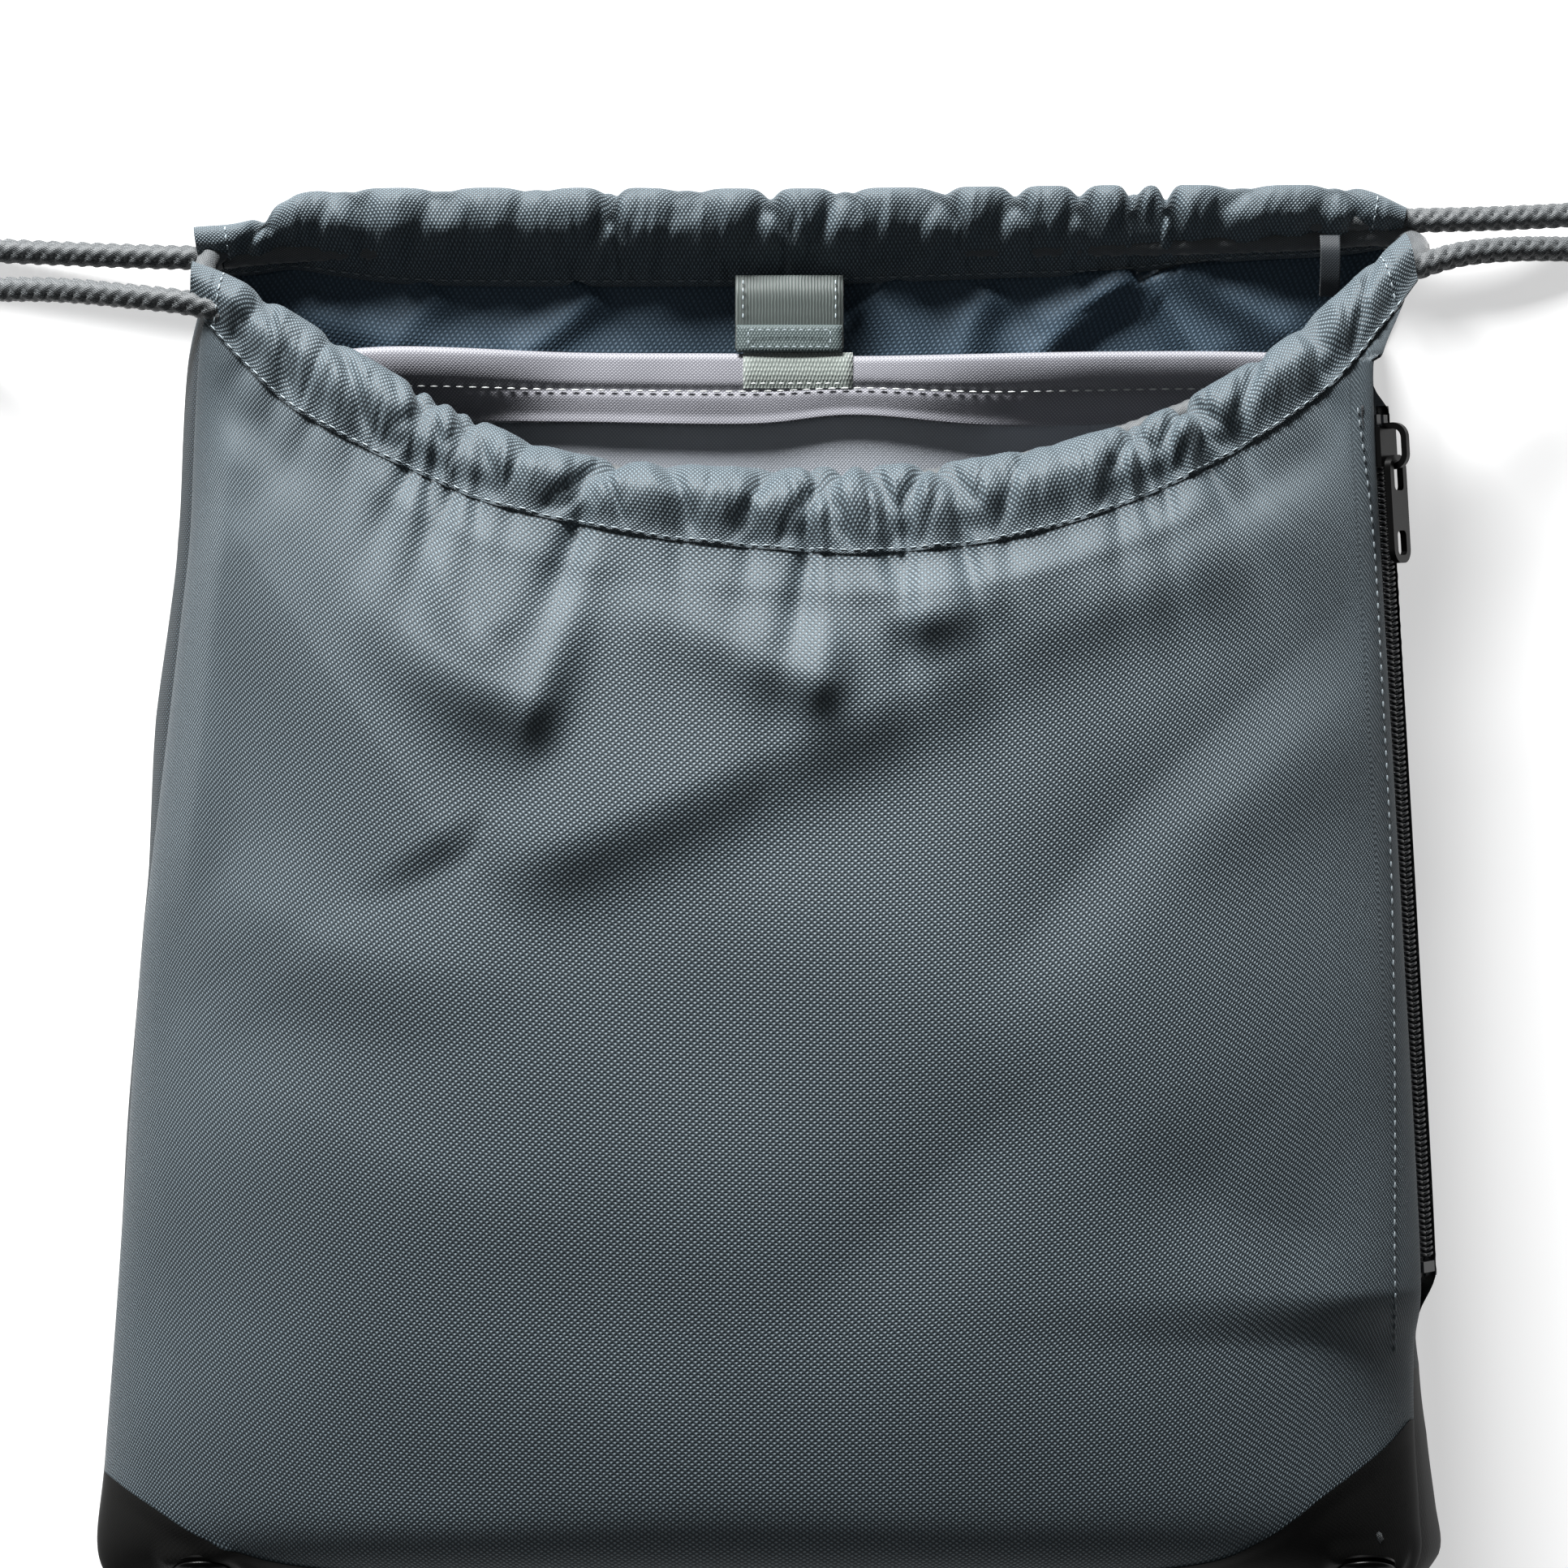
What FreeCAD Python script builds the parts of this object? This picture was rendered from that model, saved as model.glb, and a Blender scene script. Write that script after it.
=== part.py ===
import FreeCAD, Part
import math
import os

from FreeCAD import Matrix, Placement, Vector

# Drawstring shoe bag lying on its back: X across, +Y towards the mouth, +Z up.  Millimetres.

# ---- driving dimensions -------------------------------------------------------------------
bag_end_y = -198.0            # bottom end of the bag
mouth_y = 198.0               # outer edge of the back tunnel
half_width_end = 190.0        # half width at the bottom end
half_width_mouth = 168.0      # half width at the mouth
belly_height = 74.0           # top of the belly above the ground
cloth = 1.2                   # woven polyester with its coating
lining = 0.8                  # thin lining of the divider and the pocket
corner_cut = 14.0             # bottom corners, cut off at 45 degrees in plan
end_reach = 12.0              # the end wall leans out this far below the front edge
front_edge_z = 58.0           # height of the front edge at the bottom end
eyelet_face_length = 30.0     # flat face at the end that carries the eyelets
eyelet_face_tilt = 22.0       # degrees, how far that face looks up
rim_mid_y = 123.0             # lowest point of the front rim
rim_mid_z = 54.0
rim_slope = 0.34              # the front falls this much per mm towards the mouth
rim_radius = 265.0            # radius of the front rim in its own tilted plane
rim_left_angle = 34.5         # degrees from the middle to the front tunnel's left end
rim_right_angle = 38.5        # and to its right end
back_left_x = -161.0          # ends of the back tunnel
back_right_x = 169.0
belly_arc_y = -44.0
slope_start_y = 96.0

shoulder_foot_z = 30.0        # the side is upright up to here
shoulder_rise = 20.0
shoulder_run = 13.0

tunnel_width = 25.0
tunnel_thickness = 14.5
tunnel_wall = 1.0
seam_gap = 0.05               # pieces that are sewn together meet within this

base_edge_mid_y = -185.0      # top edge of the coated base, in the middle
base_edge_side_y = -160.0     # and at the sides
base_side_y = -144.0          # top edge of the base on the gussets and the back
gusset_top_y = 170.0          # the gussets run on below the cords as far as this
gusset_top_z = 22.0

cord_d = 6.0
cord_shift = 4.0              # sideways place of a cord at a tunnel's end
cord_stack = 3.1              # the two cords pass over each other in a tunnel

eyelet_d = 16.5
eyelet_hole_d = 9.2
eyelet_barrel_wall = 0.5
eyelet_flange = 1.0
eyelet_x = 161.0
neck_clearance = 0.4
knot_d = 14.0
throat_d = 13.0
throat_length = 9.0

zipper_top_y = 134.0
zipper_length = 238.0
tape_half_width = 8.0
tape_thickness = 0.6
coil_gap = 1.7                # between the coil halves, where the slider's web runs
coil_width = 2.3
coil_height = 2.0
run_clearance = 0.4           # between the slider and what it runs on
slider_length = 11.0
slider_plate = 1.2
flange_wall = 0.8
web_width = 1.0
slot_clearance = 0.8
crown_length = 13.0
crown_height = 6.0
crown_wall = 1.7
crown_thickness = 1.8
puller_length = 30.0
puller_width = 9.4
puller_thickness = 1.9
window_length = 8.0
puller_rim = 2.2              # wall left around the finger slot
slot_end = 9.0                # the finger slot ends this far from the puller's foot
puller_hole_corner = 1.4
window_width = 5.2
stop_length = 3.0
pocket_depth = 32.0
pocket_reach = 80.0

divider_z = 7.0
divider_low_y = -164.0
divider_fold_y = 151.0
divider_fold_radius = 3.6
divider_edge_y = 132.0
divider_flap_half = 150.0

tab_x = 1.7
tab_width = 30.0
tab_low_y = 155.3
tab_top_y = 172.2
tab_z = 8.6
tab_thickness = 1.2
hook_length = 8.0
loop_x = 4.0
loop_depth = 9.5
loop_thickness = 1.0

big = 1000.0
unit_x = Vector(1, 0, 0)


# ---- helpers ------------------------------------------------------------------------------
def export(name, shape):
    print("%-24s %10.1f mm3, %d solids, valid %s" % (name, shape.Volume, len(shape.Solids), shape.isValid()))
    shape.exportStep("parts/%s.step" % name)


def box(x0, x1, y0, y1, z0, z1):
    return Part.makeBox(x1 - x0, y1 - y0, z1 - z0, Vector(x0, y0, z0))


def beyond(point, normal):
    """Everything on the normal's side of a plane."""
    block = Part.makeBox(big, big, big, Vector(-big / 2, -big / 2, 0))
    turn = FreeCAD.Rotation(Vector(0, 0, 1), normal)
    block.Placement = Placement(point, turn)
    return block


def line(a, b):
    return Part.LineSegment(a, b).toShape()


def arc(a, mid, b):
    return Part.Arc(a, mid, b).toShape()


def tube(edges, diameter):
    """Round tube along tangent edges."""
    path = Part.Wire(edges)
    first = edges[0]
    start = first.valueAt(first.FirstParameter)
    heading = first.tangentAt(first.FirstParameter)
    ring = Part.Wire([Part.makeCircle(diameter / 2, start, heading)])
    body = path.makePipeShell([ring], True, False)
    wanted = math.pi * diameter ** 2 / 4 * path.Length
    print("   tube length %.1f, volume ratio %.4f" % (path.Length, body.Volume / wanted))
    return body


def rounded(points):
    """Straight runs joined by tangent arcs, each as large as its runs allow."""
    edges = []
    radii = []
    here = points[0]
    for i in range(1, len(points) - 1):
        back = points[i - 1] - points[i]
        ahead = points[i + 1] - points[i]
        reach = 0.45 * min(back.Length, ahead.Length)
        turn = math.pi - back.getAngle(ahead)
        radius = reach / math.tan(turn / 2)
        radii.append(radius)
        back.normalize()
        ahead.normalize()
        a = points[i] + back * reach
        b = points[i] + ahead * reach
        inward = back + ahead
        inward.normalize()
        centre = points[i] + inward * math.hypot(reach, radius)
        mid = centre - inward * radius
        edges.append(line(here, a))
        edges.append(arc(a, mid, b))
        here = b
    edges.append(line(here, points[-1]))
    print("   radii", " ".join("%.0f" % r for r in radii))
    return edges


# ---- the bag's outer form -----------------------------------------------------------------
side_length = mouth_y - bag_end_y
taper = (half_width_end - half_width_mouth) / side_length


def half_width(y):
    return half_width_mouth + (mouth_y - y) * taper


def front_z(y):
    """Height of the falling front near the mouth."""
    return rim_mid_z - (y - rim_mid_y) * rim_slope


side_out = Vector(1, taper, 0)
side_out.normalize()
shoulder_length = math.hypot(shoulder_rise, shoulder_run)
shoulder_out = side_out * (shoulder_rise / shoulder_length) + Vector(0, 0, shoulder_run / shoulder_length)
shoulder_up = Vector(0, 0, shoulder_rise / shoulder_length) - side_out * (shoulder_run / shoulder_length)
side_along = Vector(-taper, 1, 0)
side_along.normalize()
tilt = math.radians(eyelet_face_tilt)
eyelet_out = Vector(0, -math.cos(tilt), math.sin(tilt))
front_edge_y = bag_end_y + end_reach + eyelet_face_length * math.sin(tilt) / 2
face_foot = Vector(0, front_edge_y - eyelet_face_length * math.sin(tilt),
                   front_edge_z - eyelet_face_length * math.cos(tilt))


def mirror_x(v):
    return Vector(-v.x, v.y, v.z)


def form(inset):
    """Solid of the whole bag, drawn in by inset, running on past the mouth."""
    past = mouth_y + 40
    a = Vector(0, past, 0)
    b = Vector(0, front_edge_y, 0)
    c = Vector(0, bag_end_y, face_foot.z * 0.5)
    d = face_foot
    e = Vector(0, front_edge_y, front_edge_z)
    top = Vector(0, belly_arc_y, belly_height)
    f = Vector(0, slope_start_y, front_z(slope_start_y))
    g = Vector(0, past, front_z(past))
    edges = [line(a, b), arc(b, c, d), line(d, e), arc(e, top, f), line(f, g), line(g, a)]
    face = Part.Face(Part.Wire(edges))
    if inset:
        face = face.makeOffset2D(-inset, 2)
    solid = face.extrude(Vector(2 * half_width_end + 20, 0, 0))
    solid.translate(Vector(-half_width_end - 10, 0, 0))

    chord = half_width_end - shoulder_run
    sag = belly_height - shoulder_foot_z - shoulder_rise
    dome_radius = (chord ** 2 + sag ** 2) / (2 * sag)
    dome_centre = Vector(0, -big, belly_height - dome_radius)
    dome = Part.makeCylinder(dome_radius - inset, 2 * big, dome_centre, Vector(0, 1, 0))
    solid = solid.common(dome)
    corner_out = Vector(1, -1, 0)
    corner_out.normalize()
    walls = [
        (Vector(half_width_end, bag_end_y, 0), side_out),
        (Vector(half_width_end, bag_end_y, shoulder_foot_z), shoulder_out),
        (Vector(half_width_end - corner_cut, bag_end_y, 0), corner_out),
    ]
    for point, normal in walls:
        point = point - normal * inset
        solid = solid.cut(beyond(point, normal))
        solid = solid.cut(beyond(mirror_x(point), mirror_x(normal)))
    return solid


outer = form(0)
inner = form(cloth)
shell = outer.cut(inner).cut(beyond(Vector(0, mouth_y, 0), Vector(0, 1, 0)))

# ---- tunnels ------------------------------------------------------------------------------
slope_angle = math.atan(rim_slope)
plane_y = Vector(0, math.cos(slope_angle), -math.sin(slope_angle))   # up the front, towards the mouth
plane_out = Vector(0, math.sin(slope_angle), math.cos(slope_angle))
tunnel_r = tunnel_thickness / 2
rim_mid = Vector(0, rim_mid_y, rim_mid_z) - plane_out * tunnel_r      # in the tunnel's mid plane
rim_centre = rim_mid + plane_y * rim_radius


def in_rim(radius, angle, lift=0.0):
    """Point of the front tunnel: radius from the rim's centre, angle from the middle."""
    s = math.radians(angle)
    in_plane = unit_x * (radius * math.sin(s)) - plane_y * (radius * math.cos(s))
    return rim_centre + in_plane + plane_out * lift


def oval(centre, across, up, inset):
    """Flat-sided oval of a tunnel's section."""
    r = tunnel_r - inset
    half = tunnel_width / 2 - tunnel_r
    a = centre + across * half
    b = centre - across * half
    edges = [
        line(b + up * r, a + up * r),
        arc(a + up * r, a + across * r, a - up * r),
        line(a - up * r, b - up * r),
        arc(b - up * r, b - across * r, b + up * r),
    ]
    return Part.Face(Part.Wire(edges))


def front_oval(inset):
    middle = rim_mid - plane_y * (tunnel_width / 2)
    face = oval(middle, plane_y, plane_out, inset)
    face.rotate(rim_centre, plane_out, -rim_left_angle)
    return face.revolve(rim_centre, plane_out, rim_left_angle + rim_right_angle)


back_mid = Vector(0, mouth_y - tunnel_width / 2, tunnel_r)


def back_oval(inset):
    face = oval(back_mid + unit_x * back_left_x, Vector(0, 1, 0), Vector(0, 0, 1), inset)
    return face.extrude(unit_x * (back_right_x - back_left_x))


front_envelope = front_oval(0)
back_envelope = back_oval(0)
export_list = {}
export_list["front_tunnel"] = front_envelope.cut(front_oval(tunnel_wall))
export_list["back_tunnel"] = back_envelope.cut(back_oval(tunnel_wall))

# ---- zipper frame: local x towards the mouth, y up the shoulder, z out of the cloth --------
zip_foot = Vector(half_width(zipper_top_y), zipper_top_y, shoulder_foot_z)
zip_origin = zip_foot + shoulder_up * (shoulder_length / 2)
zip_matrix = Matrix(side_along.x, shoulder_up.x, shoulder_out.x, zip_origin.x,
                    side_along.y, shoulder_up.y, shoulder_out.y, zip_origin.y,
                    side_along.z, shoulder_up.z, shoulder_out.z, zip_origin.z,
                    0, 0, 0, 1)


def on_zipper(shape):
    shape = shape.copy()
    shape.Placement = Placement(zip_matrix)
    return shape


flange_in = coil_gap / 2 + coil_width + slot_clearance
slider_half = flange_in + flange_wall
slot_half = slider_half + slot_clearance
zipper_slot = on_zipper(box(-zipper_length - 6, 4, -slot_half, slot_half, -cloth - 0.3, 2))

# ---- cloth panels -------------------------------------------------------------------------
seam_z = shoulder_foot_z + shoulder_rise / 2
seam_point = Vector(half_width_end, bag_end_y, shoulder_foot_z) + shoulder_up * (shoulder_length / 2)
# how far from the middle of a tunnel's rounded edge the cloth meets it
cloth_reach = math.sqrt(tunnel_r ** 2 - (tunnel_r - cloth) ** 2) + seam_gap
panel_top_y = back_mid.y - (tunnel_width / 2 - tunnel_r) - cloth_reach
rim_cut_radius = rim_radius + tunnel_width - tunnel_r + cloth_reach
rim_cut = Part.makeCylinder(rim_cut_radius, big, rim_centre - plane_out * (big / 2), plane_out)

back_slab = box(-big, big, -big, panel_top_y, -1, cloth)
back_all = shell.common(back_slab)
upright = shell.cut(box(-big, big, -big, big, -1, cloth))
walls = upright.cut(rim_cut).cut(front_envelope)
gusset_tops = upright.common(box(-big, big, rim_mid_y, gusset_top_y, -1, gusset_top_z))

side_inset = corner_cut + 1.0
side_point = Vector(half_width_end, bag_end_y, 0) - side_out * side_inset
right_zone = beyond(side_point, side_out).cut(beyond(seam_point, shoulder_up))
left_zone = beyond(mirror_x(side_point), mirror_x(side_out))
left_zone = left_zone.cut(beyond(mirror_x(seam_point), mirror_x(shoulder_up)))
right_side = walls.common(right_zone).cut(zipper_slot).fuse(gusset_tops.common(right_zone)).removeSplitter()
left_side = walls.common(left_zone).fuse(gusset_tops.common(left_zone)).removeSplitter()
front_all = walls.cut(right_zone).cut(left_zone).cut(zipper_slot)

edge_sag = base_edge_side_y - base_edge_mid_y
edge_radius = (half_width_end ** 2 + edge_sag ** 2) / (2 * edge_sag)
edge_cut = Part.makeCylinder(edge_radius, 2 * big, Vector(0, base_edge_mid_y + edge_radius, -big))
eyelet_centre = Vector(eyelet_x, (front_edge_y + face_foot.y) / 2, (front_edge_z + face_foot.z) / 2)
barrel_d = eyelet_hole_d + 2 * eyelet_barrel_wall
front_zone = edge_cut.cut(box(-big, big, -big, big, -big, shoulder_foot_z))
base_front = front_all.cut(front_zone)
for centre in (eyelet_centre, mirror_x(eyelet_centre)):
    bore = Part.makeCylinder(barrel_d / 2 + seam_gap, 10, centre - eyelet_out * 5, eyelet_out)
    base_front = base_front.cut(bore)
above_base = box(-big, big, base_side_y, big, -big, big)
export_list["front_panel"] = front_all.common(front_zone)
export_list["base_front"] = base_front
export_list["back_panel"] = back_all.common(above_base)
export_list["base_back"] = back_all.cut(above_base)
export_list["right_side_panel"] = right_side.common(above_base)
export_list["base_right_side"] = right_side.cut(above_base)
export_list["left_side_panel"] = left_side.common(above_base)
export_list["base_left_side"] = left_side.cut(above_base)

# ---- eyelets, washers, knots --------------------------------------------------------------
washer = 0.6


def ring(centre, outer_d, hole_d, low, high):
    """Ring round the eyelet's axis between two heights above the cloth's outer face."""
    body = Part.makeCylinder(outer_d / 2, high - low, centre + eyelet_out * low, eyelet_out)
    return body.cut(Part.makeCylinder(hole_d / 2, high - low, centre + eyelet_out * low, eyelet_out))


def eyelet(centre):
    flange = ring(centre, eyelet_d, eyelet_hole_d, 0, eyelet_flange)
    barrel = ring(centre, barrel_d, eyelet_hole_d, -cloth - washer, 0)
    return flange.fuse(barrel).removeSplitter()


def eyelet_washer(centre):
    return ring(centre, eyelet_d, barrel_d + 2 * seam_gap, -cloth - washer, -cloth)


cord_leave = Vector(0, -1, -0.25)
cord_leave.normalize()


def knot(centre):
    """Stopper knot inside, the two cord ends squeezed through the hole, and their spread outside."""
    neck_r = eyelet_hole_d / 2 - neck_clearance
    ball_at = -(cloth + washer + run_clearance + knot_d / 2)
    ball = Part.makeSphere(knot_d / 2, centre + eyelet_out * ball_at)
    neck = Part.makeCylinder(neck_r, 2 - ball_at, centre + eyelet_out * ball_at, eyelet_out)
    spread = Part.makeCone(neck_r, throat_d / 2, 3, centre + eyelet_out * 2, eyelet_out)
    end = Part.makeCylinder(throat_d / 2, 20, centre + eyelet_out * 5, eyelet_out)
    end = end.cut(beyond(centre + eyelet_out * throat_length, cord_leave))
    return ball.fuse([neck, spread, end]).removeSplitter()


for side, centre in (("right", eyelet_centre), ("left", mirror_x(eyelet_centre))):
    export_list[side + "_eyelet"] = eyelet(centre)
    export_list[side + "_eyelet_washer"] = eyelet_washer(centre)
    export_list[side + "_knot"] = knot(centre)

# ---- zipper -------------------------------------------------------------------------------
tape_low = -cloth - tape_thickness
coil_out = coil_gap / 2 + coil_width
coil_top = -cloth + coil_height
for name, sign in (("front", 1), ("rear", -1)):
    lo, hi = sorted((sign * coil_gap / 2, sign * tape_half_width))
    tape = on_zipper(box(-zipper_length - 5, 3, lo, hi, tape_low, -cloth))
    export_list["zipper_tape_" + name] = tape
    lo, hi = sorted((sign * coil_gap / 2, sign * coil_out))
    coil = on_zipper(box(-zipper_length + stop_length, -stop_length, lo, hi, -cloth, coil_top))
    export_list["zipper_coil_" + name] = coil


def stop(x, sign):
    lo, hi = sorted((sign * coil_gap / 2, sign * coil_out))
    return box(x, x + stop_length, lo, hi, -cloth, coil_top)


top_stops = Part.makeCompound([stop(-stop_length, 1), stop(-stop_length, -1)])
export_list["zipper_top_stops"] = on_zipper(top_stops)
bridge = box(-zipper_length, -zipper_length + stop_length, -coil_out, coil_out, -cloth, coil_top)
export_list["zipper_bottom_stop"] = on_zipper(bridge)

slider_mid = -stop_length - slider_length / 2 - run_clearance
plate_low = coil_top + run_clearance
plate_top = plate_low + slider_plate
under_top = tape_low - run_clearance


def slider():
    x0 = slider_mid - slider_length / 2
    x1 = slider_mid + slider_length / 2
    top_plate = box(x0, x1, -slider_half, slider_half, plate_low, plate_top)
    low_plate = box(x0, x1, -slider_half, slider_half, under_top - slider_plate, under_top)
    web = box(x1 - 4, x1, -web_width / 2, web_width / 2, under_top, plate_low)
    flanges = [
        box(x0, x1, flange_in, slider_half, -cloth + run_clearance, plate_low),
        box(x0, x1, -slider_half, -flange_in, -cloth + run_clearance, plate_low),
    ]
    half = crown_length / 2
    arch = box(slider_mid - half, slider_mid + half, -crown_thickness / 2, crown_thickness / 2,
               plate_top - 0.4, plate_top + crown_height)
    top_edges = [e for e in arch.Edges if e.BoundBox.ZMin > plate_top + 1 and e.BoundBox.YLength > 1]
    arch = arch.makeFillet(crown_height * 0.7, top_edges)
    hole = box(slider_mid - half + crown_wall, slider_mid + half - crown_wall, -crown_thickness,
               crown_thickness, plate_top, plate_top + crown_height - crown_wall)
    top_edges = [e for e in hole.Edges if e.BoundBox.ZMin > plate_top + 1 and e.BoundBox.YLength > 1]
    hole = hole.makeFillet((crown_height - crown_wall) * 0.6, top_edges)
    foot = box(slider_mid - half, slider_mid + half, -crown_thickness / 2, crown_thickness / 2,
               plate_top - slider_plate, plate_top)
    return top_plate.fuse([low_plate, web, foot, arch.cut(hole)] + flanges).removeSplitter()


export_list["zipper_slider"] = on_zipper(slider())

bar_x = slider_mid - crown_length / 2 + crown_wall + run_clearance + puller_thickness / 2
bar_z = plate_top + run_clearance + puller_thickness / 2 + 0.3


def puller():
    x1 = bar_x + puller_thickness / 2
    x0 = x1 - puller_length
    z0 = bar_z - puller_thickness / 2
    body = box(x0, x1, -puller_width / 2, puller_width / 2, z0, z0 + puller_thickness)
    upright = [e for e in body.Edges if e.BoundBox.ZLength > puller_thickness / 2]
    body = body.makeFillet(puller_width * 0.42, upright)
    z1 = z0 + puller_thickness
    window = box(x1 - puller_thickness - window_length, x1 - puller_thickness, -window_width / 2,
                 window_width / 2, z0 - 1, z1 + 1)
    slot = box(x0 + puller_rim, x0 + slot_end, puller_rim - puller_width / 2, puller_width / 2 - puller_rim,
               z0 - 1, z1 + 1)
    for hole in (window, slot):
        upright = [e for e in hole.Edges if e.BoundBox.ZLength > puller_thickness / 2]
        body = body.cut(hole.makeFillet(puller_hole_corner, upright))
    return body


export_list["zipper_puller"] = on_zipper(puller())


def pocket():
    """Pocket behind the zipper: a sleeve down from the tapes and a flat pouch at its foot."""
    half = slot_half + lining
    x0 = -zipper_length - 4
    sleeve = box(x0, 2, -half, half, tape_low - pocket_depth, tape_low)
    floor = tape_low - pocket_depth + lining
    sleeve = sleeve.cut(box(x0 + lining, 2 - lining, -slot_half, slot_half, floor, tape_low))
    sleeve = on_zipper(sleeve)
    foot = zip_matrix.multVec(Vector(0, -half, tape_low - pocket_depth))
    y0 = zipper_top_y - zipper_length
    pouch = box(foot.x - pocket_reach, foot.x + 6, y0, zipper_top_y - 10, foot.z, foot.z + 4)
    return sleeve.fuse(pouch).removeSplitter()


export_list["zip_pocket_bag"] = pocket()

# ---- divider, closure tab, label ----------------------------------------------------------
divider_slab = box(-big, big, divider_low_y, divider_fold_y, divider_z, divider_z + lining)
sheet = form(cloth + 0.3).common(divider_slab)
fold_mid_z = divider_z + divider_fold_radius
fold_start = Vector(-divider_flap_half, divider_fold_y, fold_mid_z)
fold = Part.makeCylinder(divider_fold_radius, 2 * divider_flap_half, fold_start, unit_x)
fold = fold.cut(Part.makeCylinder(divider_fold_radius - lining, 2 * divider_flap_half, fold_start, unit_x))
fold = fold.common(box(-big, big, divider_fold_y, big, -big, big))
flap_top = fold_mid_z + divider_fold_radius
flap = box(-divider_flap_half, divider_flap_half, divider_edge_y, divider_fold_y, flap_top - lining, flap_top)
export_list["pocket_divider"] = sheet.fuse([fold, flap]).removeSplitter()
loop_low_y = divider_fold_y - loop_depth
loop_half = tab_width / 2
export_list["loop_tape"] = box(loop_x - loop_half, loop_x + loop_half, loop_low_y, divider_fold_y,
                               flap_top, flap_top + loop_thickness)
tab_box = (tab_x - tab_width / 2, tab_x + tab_width / 2)
export_list["closure_tab"] = box(tab_box[0], tab_box[1], tab_low_y, tab_top_y, tab_z, tab_z + tab_thickness)
export_list["hook_tape"] = box(tab_box[0] + 1, tab_box[1] - 1, tab_low_y, tab_low_y + hook_length,
                               tab_z - tab_thickness, tab_z)
label_x = 153.5
export_list["care_label"] = box(label_x - 3, label_x + 3, panel_top_y + 3, panel_top_y + 13,
                                tunnel_thickness, tunnel_thickness + 1.2)

# ---- cords --------------------------------------------------------------------------------
mid_radius = rim_radius + tunnel_width / 2


def tunnel_cord(sign, front_lift, back_lift):
    """One cord inside both tunnels with its bight; its free ends leave on the side -sign."""
    near_angle, far_angle = (-rim_left_angle, rim_right_angle)[::sign]
    near_x, far_x = (back_left_x, back_right_x)[::sign]
    a = in_rim(mid_radius + cord_shift, near_angle, front_lift)
    m = in_rim(mid_radius, (near_angle + far_angle) / 2, front_lift)
    b = in_rim(mid_radius - cord_shift, far_angle, front_lift)
    front = arc(a, m, b)
    heading = front.tangentAt(front.LastParameter)
    enter = Vector(far_x, back_mid.y - cord_shift, back_mid.z + back_lift)
    far = Vector(near_x, back_mid.y + cord_shift, back_mid.z + back_lift)
    run = enter - far
    run.normalize()
    out = b + heading * 16
    low = enter + run * 15
    drop = (low - out) * 0.5 + unit_x * (sign * 9)
    edges = rounded([b, out, out + drop, low, far])
    strand_start = front.tangentAt(front.FirstParameter)
    return tube([front] + edges, cord_d), a, strand_start * -1, far, run * -1


left_cord, left_a, left_a_dir, left_b, left_b_dir = tunnel_cord(1, cord_stack, -cord_stack)
right_cord, right_a, right_a_dir, right_b, right_b_dir = tunnel_cord(-1, -cord_stack, cord_stack)
export_list["left_cord_in_tunnels"] = left_cord
export_list["right_cord_in_tunnels"] = right_cord

ground = cord_d / 2
strand_gap = 3.15
throat_end = eyelet_centre + eyelet_out * throat_length
for name, start, heading in (("left a", left_a, left_a_dir), ("left b", left_b, left_b_dir),
                             ("right a", right_a, right_a_dir), ("right b", right_b, right_b_dir)):
    print("   %s start (%.1f, %.1f, %.1f) heading (%.2f, %.2f, %.2f)" % (
        name, start.x, start.y, start.z, heading.x, heading.y, heading.z))
print("   throat end", throat_end, "leave", cord_leave)

left_front_route = [
    left_a,
    left_a + left_a_dir * 20,
    Vector(-206, 174, 22),
    Vector(-237, 170, 9),
    Vector(-266, 157, ground),
    Vector(-290, 129, ground),
    Vector(-303, 84, ground),
    Vector(-299, 28, ground),
    Vector(-309, -34, ground),
    Vector(-303, -94, ground),
    Vector(-292, -152, ground),
    Vector(-267, -202, ground),
    Vector(-231, -236, ground),
    Vector(-196, -250, ground),
    Vector(-175, -245, 12),
    Vector(-166, -230, 28),
    throat_end + Vector(-2 * eyelet_x - strand_gap, 0, 0) + cord_leave * 17,
    throat_end + Vector(-2 * eyelet_x - strand_gap, 0, 0),
]
left_back_route = [
    left_b,
    left_b + left_b_dir * 24,
    Vector(-221, 193, ground),
    Vector(-262, 189, ground),
    Vector(-298, 172, ground),
    Vector(-322, 136, ground),
    Vector(-330, 82, ground),
    Vector(-322, 22, ground),
    Vector(-331, -40, ground),
    Vector(-326, -104, ground),
    Vector(-312, -166, ground),
    Vector(-283, -219, ground),
    Vector(-240, -254, ground),
    Vector(-195, -268, ground),
    Vector(-167, -261, 10),
    Vector(-158, -243, 26),
    throat_end + Vector(-2 * eyelet_x + strand_gap, 0, 0) + cord_leave * 24,
    throat_end + Vector(-2 * eyelet_x + strand_gap, 0, 0),
]
right_front_route = [
    right_a,
    right_a + right_a_dir * 20,
    Vector(212, 179, 20),
    Vector(242, 181, 9),
    Vector(272, 168, ground),
    Vector(297, 141, ground),
    Vector(310, 94, ground),
    Vector(302, 38, ground),
    Vector(308, -22, ground),
    Vector(300, -82, ground),
    Vector(305, -142, ground),
    Vector(282, -198, ground),
    Vector(240, -235, ground),
    Vector(198, -251, ground),
    Vector(175, -245, 12),
    Vector(166, -230, 28),
    throat_end + Vector(strand_gap, 0, 0) + cord_leave * 17,
    throat_end + Vector(strand_gap, 0, 0),
]
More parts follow.
